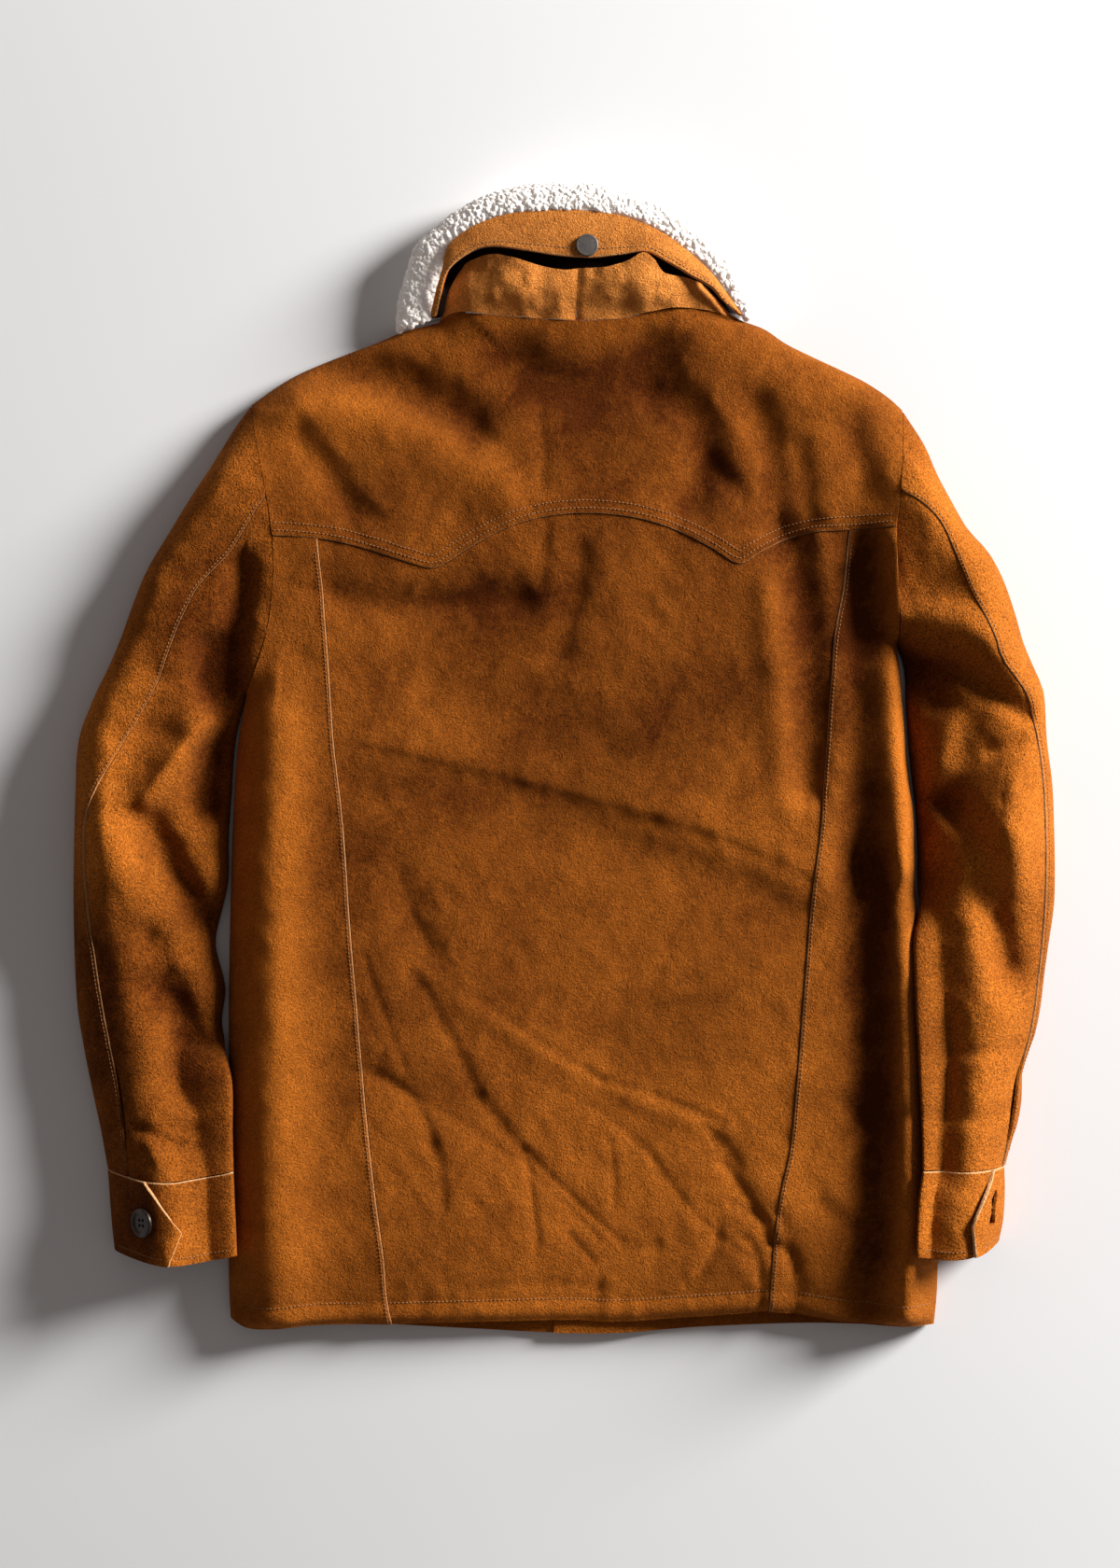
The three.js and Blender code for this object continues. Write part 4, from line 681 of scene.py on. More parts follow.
class Finish:
    """A material whose nodes are added by expressions on its sockets."""

    def __init__(self, name):
        self.material = bpy.data.materials.new(name)
        self.material.use_nodes = True
        self.tree = self.material.node_tree
        self.shader = self.tree.nodes["Principled BSDF"]

    def node(self, kind, settings=None, inputs=(), output=0):
        """Any node: settings are set first, then inputs by number or name, values or sockets."""
        made = self.tree.nodes.new(kind)
        for key, value in (settings or {}).items():
            if key == "stops":
                ramp = made.color_ramp.elements
                while len(ramp) < len(value):
                    ramp.new(0.5)
                for stop, (place, colour) in zip(ramp, value):
                    stop.position, stop.color = place, (*colour, 1)
            else:
                setattr(made, key, value)
        pairs = inputs.items() if isinstance(inputs, dict) else enumerate(inputs)
        for key, value in pairs:
            self.feed(made.inputs[key], value)
        return Socket(self, made.outputs[output])

    def feed(self, socket, value):
        if isinstance(value, Socket):
            self.tree.links.new(value.output, socket)
        elif socket.type == "RGBA" and len(value) == 3:
            socket.default_value = (*value, 1)
        else:
            socket.default_value = value

    def place(self, scale=(1, 1, 1), turn=0.0):
        """Object coordinates turned about Z and stretched."""
        spot = self.node("ShaderNodeTexCoord", output="Object")
        if turn:
            spot = self.node("ShaderNodeVectorRotate", {"rotation_type": "Z_AXIS"},
                             {"Vector": spot, "Angle": turn})
        return self.node("ShaderNodeVectorMath", {"operation": "MULTIPLY"}, (spot, scale))

    def noise(self, scale, detail=2.0, roughness=0.5, distortion=0.0, place=None):
        return self.node("ShaderNodeTexNoise", {}, {
            "Vector": place or self.place(), "Scale": scale, "Detail": detail,
            "Roughness": roughness, "Distortion": distortion})

    def attribute(self, name):
        return self.node("ShaderNodeAttribute", {"attribute_name": name}, output="Fac")

    def tint(self, a, b, share, how="MIX"):
        """Colour a mixed towards b by share."""
        return self.node("ShaderNodeMix", {"data_type": "RGBA", "blend_type": how},
                         {0: share, 6: a, 7: b}, output=2)

    def end(self, colour, roughness, height=None, depth=0.001, strength=1.0, **fixed):
        self.feed(self.shader.inputs["Base Color"], colour)
        self.feed(self.shader.inputs["Roughness"], roughness)
        for key, value in fixed.items():
            self.feed(self.shader.inputs[key.replace("_", " ")], value)
        if height is not None:
            self.feed(self.shader.inputs["Normal"], self.node("ShaderNodeBump", {}, {
                "Strength": strength, "Distance": depth, "Height": height}))
        return self.material


def suede(name, dark, light, edge, grain, coarse):
    """Napped suede: rubbed pale crests, painted shade in valleys, patches of painted light and shade,
    and clouds and strokes of brushed nap mix a dark and a light tan, and grain makes it lighter and
    darker by turns; raw cut edges are paler."""
    f = Finish(name)
    cloud = f.noise(8, 4, 0.6, 0.4)
    strokes = f.noise(30, 4, 0.65, 0.8, f.place((1.0, 0.4, 1.0), 0.5))
    drag = f.noise(22, 3, 0.6, 0.5, f.place((0.35, 1.0, 1.0), -0.2))
    fleck = f.noise(grain, 2, 0.6)
    fine = f.noise(grain * 2.3, 1, 0.5)
    pores = f.noise(grain * 0.3, 3, 0.6, 0.4)
    # Painted light and shade: the attribute read first holds wear on crests, painted shade in valleys and
    # patches of painted light and shade.
    nap = (f.attribute("worn") - 0.1 + (cloud - 0.5) * 1.0 + (strokes - 0.5) * 0.6
           + (drag - 0.5) * 0.45 + (pores - 0.5) * 0.4).held()
    speck = 1 + (fleck - 0.5) * coarse + (fine - 0.5) * (coarse * 0.8)
    tan = f.tint(f.tint(dark, light, nap), speck, 1.0, "MULTIPLY")
    colour = f.tint(tan, edge, (f.attribute("raw") * (0.75 + fine * 0.5)).held())
    rough = 0.88 + (fleck - 0.5) * 0.2
    height = fleck * 0.6 + fine * 0.4 + pores * 0.6 + strokes * 0.5
    return f.end(colour, rough, height, 0.0022, 0.9, Sheen_Weight=0.05, Sheen_Roughness=0.45,
                 Sheen_Tint=(1.0, 0.6, 0.28), Specular_IOR_Level=0.05)


def thread_finish():
    """Tan twisted thread: a fine diagonal wave lightens and lifts each ply."""
    f = Finish("stitch_thread")
    ply = f.node("ShaderNodeTexWave", {"wave_type": "BANDS", "bands_direction": "DIAGONAL"},
                 {"Vector": f.place(), "Scale": 900.0, "Distortion": 2.0})
    fuzz = f.noise(2600, 2)
    colour = f.tint((0.20, 0.08, 0.02), (0.44, 0.21, 0.07), (ply * 0.6 + fuzz * 0.4).held())
    return f.end(colour, 0.62 + fuzz * 0.2, ply * 0.7 + fuzz * 0.3, 0.0002, 0.6)


def fleece_finish(name, low, high):
    """Cream wool, greyer between the locks as painted shade, with a fine fibrous bump, a slight glow
    of painted light for the light that scatters inside it, and near black painted shade where the band
    covers it and on the low skirt under the stand."""
    f = Finish(name)
    lift = f.attribute("lift")
    wool = f.noise(260, 4, 0.65, 0.8)
    fibre = f.noise(1500, 3, 0.6, 0.5)
    # painted shade: the wool is greyer where its lift is low, between the locks
    share = (lift * 0.6 + (wool - 0.5) * 0.5 + 0.5).held()
    # painted shade: near black under the band and on the skirt under the stand, with no glow there
    skin = f.attribute("skin")
    colour = f.tint(f.tint(low, high, share), (0.02, 0.007, 0.002), skin)
    # painted light: a cream glow stands for light scattered inside the wool
    painted_glow = f.tint((1.0, 0.9, 0.86), (0.0, 0.0, 0.0), skin)
    return f.end(colour, 0.9 + (wool - 0.5) * 0.1, wool * 0.7 + fibre * 0.3, 0.0012, 0.7,
                 Sheen_Weight=0.5, Sheen_Roughness=0.5, Sheen_Tint=(1.0, 0.95, 0.9),
                 Emission_Color=painted_glow, Emission_Strength=0.07,
                 Specular_IOR_Level=0.15)


def horn_finish():
    """Dark polished horn: brown streaks in near black, with faint polishing scratches."""
    f = Finish("button_horn")
    streak = f.noise(160, 4, 0.6, 2.2, f.place((1, 0.25, 1), 0.8))
    scuff = f.noise(1800, 2, 0.6)
    colour = f.tint((0.012, 0.008, 0.006), (0.11, 0.05, 0.022), ((streak - 0.42) * 2.2).held())
    return f.end(colour, 0.24 + scuff * 0.18, scuff * 0.3 + streak * 0.2, 0.0001, 0.4)


def snap_finish():
    """Gunmetal: dark brushed metal, duller where it is touched."""
    f = Finish("snap_gunmetal")
    wear = f.noise(420, 3, 0.6)
    rub = f.noise(1400, 2, 0.6, 0, f.place((1, 0.1, 1)))
    colour = f.tint((0.10, 0.09, 0.085), (0.24, 0.22, 0.205), (wear * 0.7 + rub * 0.3).held())
    return f.end(colour, 0.42 + wear * 0.2, rub * 0.4 + wear * 0.3, 0.00015, 0.35, Metallic=0.8)


HEM = chain("hem_l", "hem_m", "hem_r")
YOKE_TOP = evened(np.vstack([LINE["shoulder_l"][::-1], LINE["neck"][1:], LINE["shoulder_r"][1:]]))
YOKE_HEM = evened(chain("yoke_l", "yoke_m", "yoke_r"))
SIDES = {h: evened(chain(f"arm_lower_{h}", f"side_{h}")) for h in "lr"}
ARM = {}
for _h in "lr":
    _upper = lengths(LINE[f"arm_upper_{_h}"])[-1]
    _share = _upper / (_upper + lengths(LINE[f"arm_lower_{_h}"])[-1])
    ARM[_h] = (SEAM_ROW * _share, evened(chain(f"arm_upper_{_h}", f"arm_lower_{_h}")))
    _start = along(LINE[f"arm_upper_{_h}"], SEAM_ROW)
    LINE[f"seam_{_h}"] = smooth_line([_start.tolist(), *OUTLINE[f"seam_{_h}"][1:]], 60)


def oriented(corners, faces):
    """Faces turned so that the mesh's signed volume is over 0."""
    a, b, c, d = (corners[faces[:, k]] for k in range(4))
    volume = (np.cross(b, c) * a).sum() + (np.cross(c, d) * a).sum()
    return faces if volume > 0 else faces[:, ::-1]


def cloth(name, points, normals, material, node, raw=None, has=None, thickness=WALL,
          rim=0.5, bright=0.6):
    """Closed wall of cloth; near a raw cut edge its face rounds down and, over the width rim,
    turns pale by the share bright."""
    if raw is not None:
        points = points - normals * (0.5 * clamp(1 - raw / 0.9) ** 2)[..., None]
    corners, faces, used = wall(points, normals, thickness, has)
    pale = np.zeros(points.shape[:2]) if raw is None else bright * (1 - ease((raw - rim / 2) / rim))
    pale = np.tile(pale.ravel(), 2)[used]
    # share of light nap: wear on crests, painted shade in valleys, painted light and shade in patches
    nap = np.tile(worn(KINDS.get(node, "B"), points[..., 0], points[..., 1]).ravel(), 2)[used]
    piece = make_piece(name, corners, oriented(corners, faces), material, [node],
                       {"raw": pale, "worn": nap})
    return piece


KINDS = {f"{part}_{SIDE_WORD[h]}": h.upper() for h in "lr"
         for part in ("sleeve_outer", "sleeve_inner", "cuff")}


def away(line):
    """Distance from a line in plan."""
    return lambda x, y: near(line, x, y)[0]


def panel(name, lines, gaps, us, vs, height, way, material, lift=None,
          edge=None):
    """Panel between four lines on a height function; edge gives the distance to its raw edge."""
    x, y = patch(lines, gaps, us, vs)
    points, normals = on_surface(height, x, y, way, lift)
    return cloth(name + "_cloth", points, normals, material, name,
                 None if edge is None else edge(x, y))


def station(hand, t):
    """Outer, inner and seam points of a sleeve at shares t of its length."""
    seam, pit = STATIONS[hand]
    cut, hole = ARM[hand]
    outer = along(LINE[f"out_{hand}"], t)
    share = np.where(t < seam, t / seam * cut, mix(cut, 1, (t - seam) / (pit - seam)))
    inner = np.where((t <= pit)[:, None], along(hole, share),
                     along(LINE[f"in_{hand}"], (t - pit) / (1 - pit)))
    middle = np.where((t <= seam)[:, None], inner,
                      along(LINE[f"seam_{hand}"], (t - seam) / (1 - seam)))
    return outer, inner, middle


def across(hand, t, ends, start, stop, gap_start, gap_stop, at):
    """Rows of points from start to stop, kept off both by the gaps, bowed down near the cuff."""
    outer, inner = ends
    width = np.linalg.norm(start - stop, axis=1)[:, None]
    share = clamp(at[None, :], gap_start / width, 1 - gap_stop / width)[..., None]
    p = mix(start[:, None], stop[:, None], share)
    sag = CUFF_SAG[hand][0] * ease((t - 0.9) / 0.1)[:, None]
    whole = np.linalg.norm(outer - inner, axis=1)[:, None]
    part = clamp(np.linalg.norm(p - outer[:, None], axis=2) / whole)
    return p[..., 0], p[..., 1] - sag * np.sin(np.pi * part)


def sleeve(hand, part, material):
    """A sleeve's outer or inner cut: over the top from the seam to the outline, round it and
    back to the seam underneath."""
    seam, pit = STATIONS[hand]
    first = 0.0046 if part == "outer" else seam + 0.003
    rows = np.unique(np.concatenate([
        first + (pit - first) * shares(640 * (pit - first), 1.0, 1.4, 3.0, (True, False)),
        pit + (1 - pit) * shares(640 * (1 - pit), 0.8, 1.4, 3.0, (False, True))]).round(6))
    outer, inner, middle = station(hand, rows)
    rim = outer if part == "outer" else inner
    wide = 75 if part == "outer" else 80
    over = shares(wide, 0.45, 1.4, 2.6)
    under = shares(wide, 0.8, 1.5, 5.0)
    rim_gap = np.where((part == "inner") & (rows < pit + 1e-6), 2 * SEAM, EDGE)[:, None]
    seam_gap = SEAM * np.where((part == "outer") & (rows <= seam), 1.4, 1.1)[:, None]
    slit = {"l": 0.5, "r": 1.3}[hand] * np.sin(np.pi * clamp((rows - 0.86) / 0.115))
    seam_gap = seam_gap + slit[:, None]
    x1, y1 = across(hand, rows, (outer, inner), middle, rim, seam_gap, rim_gap, over)
    x2, y2 = across(hand, rows, (outer, inner), rim, middle, rim_gap, seam_gap, under)
    lift = lap_at(LINE[f"seam_{hand}"], 12) if part == "outer" else None
    top, top_n = on_surface(lambda x, y: sleeve_top(hand, x, y), x1, y1, 1, lift)
    low, low_n = on_surface(lambda x, y: sleeve_bottom(hand, x, y), x2, y2, -1)
    points, normals = np.concatenate([top, low], 1), np.concatenate([top_n, low_n], 1)
    has = None
    if part == "inner":
        has = np.ones((len(rows) - 1, points.shape[1] - 1), bool)
        has[rows[:-1] < pit - 1e-9, len(over) - 1] = False
        has = has.ravel()
    raw = None
    if part == "outer":
        raw = np.concatenate([away(LINE[f"seam_{hand}"])(x1, y1), np.full(x2.shape, 9.0)], 1)
        raw[rows <= seam] = 9.0
    name = f"sleeve_{part}_{SIDE_WORD[hand]}"
    return cloth(name + "_cloth", points, normals, material, name, raw, has)


def cuff_point(hand, f, v):
    """Point of the laid cuff at share f of its width and v of its depth."""
    p = mix(along(LINE[f"cuff_out_{hand}"], v), along(LINE[f"cuff_in_{hand}"], v), f[..., None])
    above, below = CUFF_SAG[hand]
    return p[..., 0], p[..., 1] - mix(above, below, v) * np.sin(np.pi * f) - 0.8 * (1 - v)


def cuff_top(hand, rise=0.0, reach=1.0):
    """The sleeve's height, one lap higher, plus a rise that starts at the outline."""
    outline = OUTER[hand][0][0]
    return lambda x, y: (sleeve_top(hand, x, y) + LAP + rise * ease(near(outline, x, y)[0] / reach))


def cuff(hand, material):
    """A cuff: one strip from its tab over the outer side, round the underside to its plain end;
    the right tab has its buttonhole."""
    v = shares(60, 0.45, 1.4, 2.2)
    tab = np.array(TABS[hand], float)
    edge = np.interp(v, tab[:, 0], tab[:, 1])[:, None]
    end = np.maximum(edge - 0.12, {"l": 0.3, "r": 0.14}[hand])
    rim = EDGE / 90
    spread = lambda rows, n: np.interp(np.linspace(0, 1, n), np.linspace(0, 1, len(rows)), rows)
    tab_f = rim + spread([1, 0.985, 0.97, 0.86, 0.7, 0.5, 0.32, 0.17, 0.07, 0.02, 0], 51) * (edge - rim)
    under_f = clamp(spread([0, 0.03, 0.08, 0.3, 0.6, 0.84, 0.93, 0.975, 1], 41), rim, 1 - rim)
    back_f = mix(1 - rim, end, spread([0, 0.015, 0.05, 0.12, 0.23, 0.38, 0.6, 0.8, 0.98, 1], 46))
    depth = v[:, None]
    blocks = []
    for f, height, way in ((tab_f, cuff_top(hand, *TAB_RISE[hand]), 1),
                           (under_f, lambda x, y: sleeve_bottom(hand, x, y), -1),
                           (back_f, cuff_top(hand), 1)):
        f = np.broadcast_to(f, (len(v), f.shape[-1]))
        x, y = cuff_point(hand, f, np.broadcast_to(depth, f.shape))
        blocks.append(on_surface(height, x, y, way))
    points, normals = (np.concatenate([b[k] for b in blocks], axis=1) for k in (0, 1))
    width = 88.0 if hand == "l" else 66.0
    side = np.concatenate([(edge - tab_f) * width, np.full((len(v), 41), 9.0), (back_f - end) * width],
                          axis=1)
    raw = np.minimum(np.abs(side), depth * 60)
    name = f"cuff_{SIDE_WORD[hand]}"
    has = None
    if hand == "r":
        middle = (points[1:, 1:, :2] + points[:-1, :-1, :2]) / 2 - CUFF_BUTTON[hand]
        wide = 1.7 + 0.1 * np.abs(middle[..., 1])
        slit = (np.abs(middle[..., 0] - 0.1 * middle[..., 1]) < wide) & (np.abs(middle[..., 1]) < 11.5)
        slit[:, 50:] = False
        has = ~slit.ravel()
    return cloth(name + "_cloth", points, normals, material, name, raw, has,
                 rim=0.6, bright=1.0)


def front(hand, material):
    """A front, flat on the floor; the right one laps over the left one inside the jacket."""
    left = hand == "l"
    arm_side = evened(chain(f"arm_upper_{hand}", f"arm_lower_{hand}", f"side_{hand}"))
    middle = PLACKET_X + (PLACKET if left else -PLACKET)
    neck, hem = LINE["front_neck"], LINE["hem_front"]
    neck_end = np.interp(middle, neck[:, 0], neck[:, 1])
    hem_end = np.interp(middle, hem[:, 0], hem[:, 1])
    shoulder = LINE[f"shoulder_{hand}"]
    if left:
        top = np.vstack([shoulder[::-1], neck[1:][neck[1:, 0] < middle], [[middle, neck_end]]])
        bottom = np.vstack([hem[hem[:, 0] < middle], [[middle, hem_end]]])
    else:
        top = np.vstack([[[middle, neck_end]], neck[:-1][neck[:-1, 0] > middle], shoulder])
        bottom = np.vstack([[[middle, hem_end]], hem[hem[:, 0] > middle]])
    centre = np.array([[middle, neck_end], [middle, hem_end]])
    over = 0.0 if left else WALL + 2 * SEAM
    height = lambda x, y: front_bottom(x, y) + over * ease((PLACKET_X + 90 - x) / 50)
    us = shares(240, 0.8, 1.4, 6.0)
    vs = shares(700, 0.8, 1.4, 7.0)
    lines = [evened(top), evened(bottom), arm_side, centre]
    gaps = [EDGE, 0, EDGE, 0]
    if not left:
        lines[2:], gaps = [centre, arm_side], [EDGE, 0, 0, EDGE]
    return panel(f"front_{SIDE_WORD[hand]}", lines, gaps, us, vs, height, -1, material)


def stand(hand, material):
    """Half of the collar stand, from the neck seam to its upper edge."""
    left = hand == "l"
    middle = np.array([OUTLINE["stand_top_l"][-1], NECK_MIDDLE])
    neck = LINE["neck"]
    part = neck[neck[:, 0] < NECK_MIDDLE[0] - 0.5] if left else neck[neck[:, 0] > NECK_MIDDLE[0] + 0.5]
    neck = evened(np.vstack([part, [NECK_MIDDLE]] if left else [[NECK_MIDDLE], part]))
    side = LINE[f"stand_{hand}"][::-1]
    gap = SEAM
    lines = [LINE[f"stand_top_{hand}"], neck, side, middle]
    gaps = [0, gap, EDGE, gap / 2]
    if not left:
        lines[2:], gaps = [middle, side], [0, gap, gap / 2, EDGE]
    return panel(f"collar_stand_{SIDE_WORD[hand]}", lines, gaps, shares(95, 0.5, 1.4, 1.6),
                 shares(36, 0.5, 1.4, 1.4), stand_top, 1, material)


def grid_normals(points):
    """Unit normals of a grid from the cross product of its two directions."""
    return unit(np.cross(np.gradient(points, axis=0), np.gradient(points, axis=1)))


def band_grid(rows=161, columns=21):
    """The collar band: straight from its outer to its free edge, bowed up by a half sine, with
    small ripples along it."""
    outer = smooth_line([r[:3] for r in BAND], rows - 1)
    free = smooth_line([r[3:] for r in BAND], rows - 1)
    c = shares(24, 0.4, 1.4, 1.6)[None, :, None]
    points = mix(outer[:, None], free[:, None], c)
    s = lengths(outer)[:, None]
    bulge = 1.2 * np.sin(np.pi * c[..., 0]) + 0.45 * noise(s / 1.0, c[..., 0] * 9 + 3, 13)
    bulge = bulge - 0.35 * np.exp(-(((1 - c[..., 0]) * 24 - 5.4) / 1.6) ** 2)
    points[..., 2] += bulge
    normals = grid_normals(points)
    return points, normals * np.sign(normals[..., 2:3].mean())


def fleece_roll(along_count=420, around=80):
    """Roll round the neck: superellipse sections between the inner and the outer line."""
    outer = smooth_line([[r[0], r[1]] for r in FLEECE], along_count)
    inner = smooth_line([[r[2], r[3]] for r in FLEECE], along_count)
    top = smooth_line([[i, r[4]] for i, r in enumerate(FLEECE)], along_count)[:, 1]
    angle = np.linspace(0, 2 * np.pi, around, endpoint=False)
    c = np.sign(np.cos(angle)) * np.abs(np.cos(angle)) ** 0.8
    s = np.sign(np.sin(angle)) * np.abs(np.sin(angle)) ** 0.8
    plan = mix(inner[:, None], outer[:, None], (0.5 + 0.5 * c)[None, :, None])
    z = top[:, None] / 2 * (1 + s) - 0.1 * s
    points = np.concatenate([plan, z[..., None]], axis=2)
    normals = grid_normals(np.concatenate([points[:, -1:], points, points[:, :1]], 1))[:, 1:-1]
    middle = points.mean(1, keepdims=True)
    normals = normals * np.sign(((points - middle) * normals).sum(-1, keepdims=True).mean())
    return points, normals, outer


def lock_lift(points, outer):
    """Rise of the wool: locks and curls of ridged noise, near 0 under the band."""
    run = lengths(outer)[:, None] + 0 * points[..., 2]
    girth = np.concatenate([np.zeros((len(points), 1)),
                            np.cumsum(np.linalg.norm(np.diff(points, axis=1), axis=2), axis=1)], 1)
    warp = 3.0 * noise(run, girth, 9)
    lock = ridged(run + warp, girth - warp, 6.5) * 0.55 + ridged(run - warp, girth, 3.4) * 0.35
    band = smooth_line([r[:2] for r in BAND], 120)
    gap, side = near(band, points[..., 0], points[..., 1])
    bare = ease((np.where(side > 0, gap, -gap) + 1) / 4)
    low = ease(points[..., 2] / 5)
    return (lock + 0.35 * noise(run, girth, 14)) * bare * low, bare


def fleece(material):
    """The roll pushed out by its locks; its low inner edge runs on under the collar stand as a flat skirt,
    coloured near black as painted shade.
    """
    points, normals, outer = fleece_roll()
    lift, bare = lock_lift(points, outer)
    rows, around = points.shape[:2]
    inward = unit(points[:, around // 2] - points[:, 0])[:, None] * [1, 1, 0]
    t = np.linspace(0, 1, rows)[:, None]
    # painted shade: a low dark skirt reaches in under the stand, where there is only shade
    reach = 32 + 24 * ease(np.minimum(t, 1 - t) / 0.2)
    facing = ((points - points.mean(1, keepdims=True)) * inward).sum(-1)
    under = reach * ease((4 - points[..., 2]) / 4) * ease(facing / 3)
    points = points + normals * (1.7 * lift - 0.8 * (1 - bare) - 1.0 * bare)[..., None]
    points = points + inward * under[..., None]
    points[..., 2] = np.maximum(points[..., 2], 0.1)
    ids = np.arange(rows * around).reshape(rows, around)
    nxt = np.roll(ids, -1, axis=1)
    quads = np.stack([ids[:-1], nxt[:-1], nxt[1:], ids[1:]], axis=-1).reshape(-1, 4)
    caps = []
    for ring, flip in ((ids[0], False), (ids[-1], True)):
        pair = np.stack([ring[:around // 2 - 1], ring[1:around // 2],
                         ring[::-1][1:around // 2], ring[::-1][:around // 2 - 1]], axis=1)
        caps.append(pair if flip else pair[:, ::-1])
    faces = np.concatenate([quads, *caps])
    corners = points.reshape(-1, 3)
    # painted shade: near black under the band and on the skirt; the lift value below greys the wool
    # between the locks as painted shade
    skin = np.maximum(1 - ease(2 * bare), ease(under / 3))
    piece = make_piece("collar_fleece_wool", corners, oriented(corners, faces), material,
                       ["collar_fleece"],
                       {"lift": clamp(lift.ravel() * 0.5 + 0.5), "skin": skin.ravel()}, 0)
    return piece


def tubes(paths, normals, radii, sides, name, material, values=None):
    """Many short closed tubes at once: paths is (count, rings, 3), radii (count, rings)."""
    count, rings = paths.shape[:2]
    forward = unit(np.gradient(paths, axis=1))
    one = unit(np.cross(forward, normals))
    two = np.cross(one, forward)
    turn = 2 * np.pi * np.arange(sides) / sides
    ring = (np.cos(turn)[None, None, :, None] * one[:, :, None]
            + np.sin(turn)[None, None, :, None] * two[:, :, None])
    corners = paths[:, :, None] + ring * radii[:, :, None, None]
    ids = np.arange(count * rings * sides).reshape(count, rings, sides)
    nxt = np.roll(ids, -1, axis=2)
    quads = np.stack([ids[:, :-1], nxt[:, :-1], nxt[:, 1:], ids[:, 1:]], axis=-1).reshape(-1, 4)
    faces = quads[:, ::-1].tolist() + ids[:, 0].tolist() + ids[:, -1, ::-1].tolist()
    mesh_values = {k: np.repeat(v, rings * sides) for k, v in (values or {}).items()}
    mesh = bpy.data.meshes.new(name)
    mesh.from_pydata(((corners.reshape(-1, 3) + SHIFT) * 0.001).tolist(), [], faces)
    mesh.polygons.foreach_set("use_smooth", np.ones(len(mesh.polygons), bool))
    for key, data in mesh_values.items():
        mesh.attributes.new(key, "FLOAT", "POINT").data.foreach_set(
            "value", np.asarray(data, np.float32))
    mesh.materials.append(material)
    piece = bpy.data.objects.new(name, mesh)
    bpy.context.scene.collection.objects.link(piece)
    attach(piece, "root")
    return piece


def curls(material, count=2700):
    """Locks on the wool: arcs that rise from it, turn over and come back beside their start."""
    rng = np.random.default_rng(5)
    points, normals, outer = fleece_roll()
    _, bare = lock_lift(points, outer)
    rows, around = points.shape[:2]
    room = (np.linalg.norm(np.roll(points, -1, 1) - points, axis=2)
            * np.linalg.norm(np.gradient(points, axis=0), axis=2))
    weight = (room * (bare > 0.8) * (points[..., 2] > 4)).ravel()
    pick = rng.choice(rows * around, count, replace=False, p=weight / weight.sum())
    base, up = points.reshape(-1, 3)[pick], normals.reshape(-1, 3)[pick]
    spin = unit(np.cross(up, rng.normal(size=(count, 3))))
    beside = np.cross(up, spin)
    s = np.linspace(0, 1, 7)[None, :, None]
    size = rng.uniform(1.7, 2.9, (count, 1, 1))
    turn = (-0.1 + s * rng.uniform(1.15, 1.7, (count, 1, 1))) * np.pi
    rise = up[:, None] * 0.8 + beside[:, None] * rng.uniform(-0.5, 0.5, (count, 1, 1))
    path = (base[:, None] - up[:, None] * 1.1 + size * (np.cos(turn) * spin[:, None]
            + np.sin(turn) * rise) + beside[:, None] * s * rng.uniform(-2.4, 2.4, (count, 1, 1)))
    path[..., 2] = np.maximum(path[..., 2], 1.3)
    radii = rng.uniform(1.3, 2.1, (count, 1)) * np.array([[0.5, 0.9, 1.1, 1.1, 1.0, 0.8, 0.35]])
    return tubes(path, np.broadcast_to(beside[:, None], path.shape), radii, 5,
                 "collar_fleece_curls", material,
                 {"lift": rng.uniform(0.45, 1.0, count)})


def on_line(line, height, lift=None, step=0.6):
    """Dense surface points and normals along a line in plan."""
    line = evened(line[:, :2], int(lengths(line[:, :2])[-1] / step) + 2)
    return on_surface(height, line[:, 0], line[:, 1], 1, lift)


def stitch_paths(points, normals, pitch=2.9, long=2.1):
    """Ring centres of a row of stitches: each dips into the cloth at both ends."""
    run = lengths(points)
    count = int(run[-1] / pitch)
    at = ((np.arange(count) + 0.5)[:, None] * pitch
          + (np.array([-0.5, -0.36, 0.0, 0.36, 0.5]) * long)[None])
    pick = lambda data: np.stack([np.interp(at, run, c) for c in data.T], axis=-1)
    up = pick(normals)
    return pick(points) + up * np.array([-0.3, 0.12, 0.3, 0.12, -0.3])[None, :, None], up


def sew(name, rows, material):
    """Rows of stitches as one piece of short tubes."""
    made = [stitch_paths(*row) for row in rows]
    paths, ups = (np.concatenate([m[k] for m in made]) for k in (0, 1))
    radii = np.broadcast_to(0.36 * np.array([[0.35, 0.85, 1.0, 0.85, 0.35]]), paths.shape[:2])
    side = unit(np.cross(np.gradient(paths, axis=1), ups))
    return tubes(paths, np.cross(side, unit(np.gradient(paths, axis=1))), radii, 5, name, material)


def frame_on(normal):
    """Two axes that stand across a normal."""
    one = unit(np.cross([0.0, 1.0, 0.0], normal))
    return one, np.cross(normal, one)


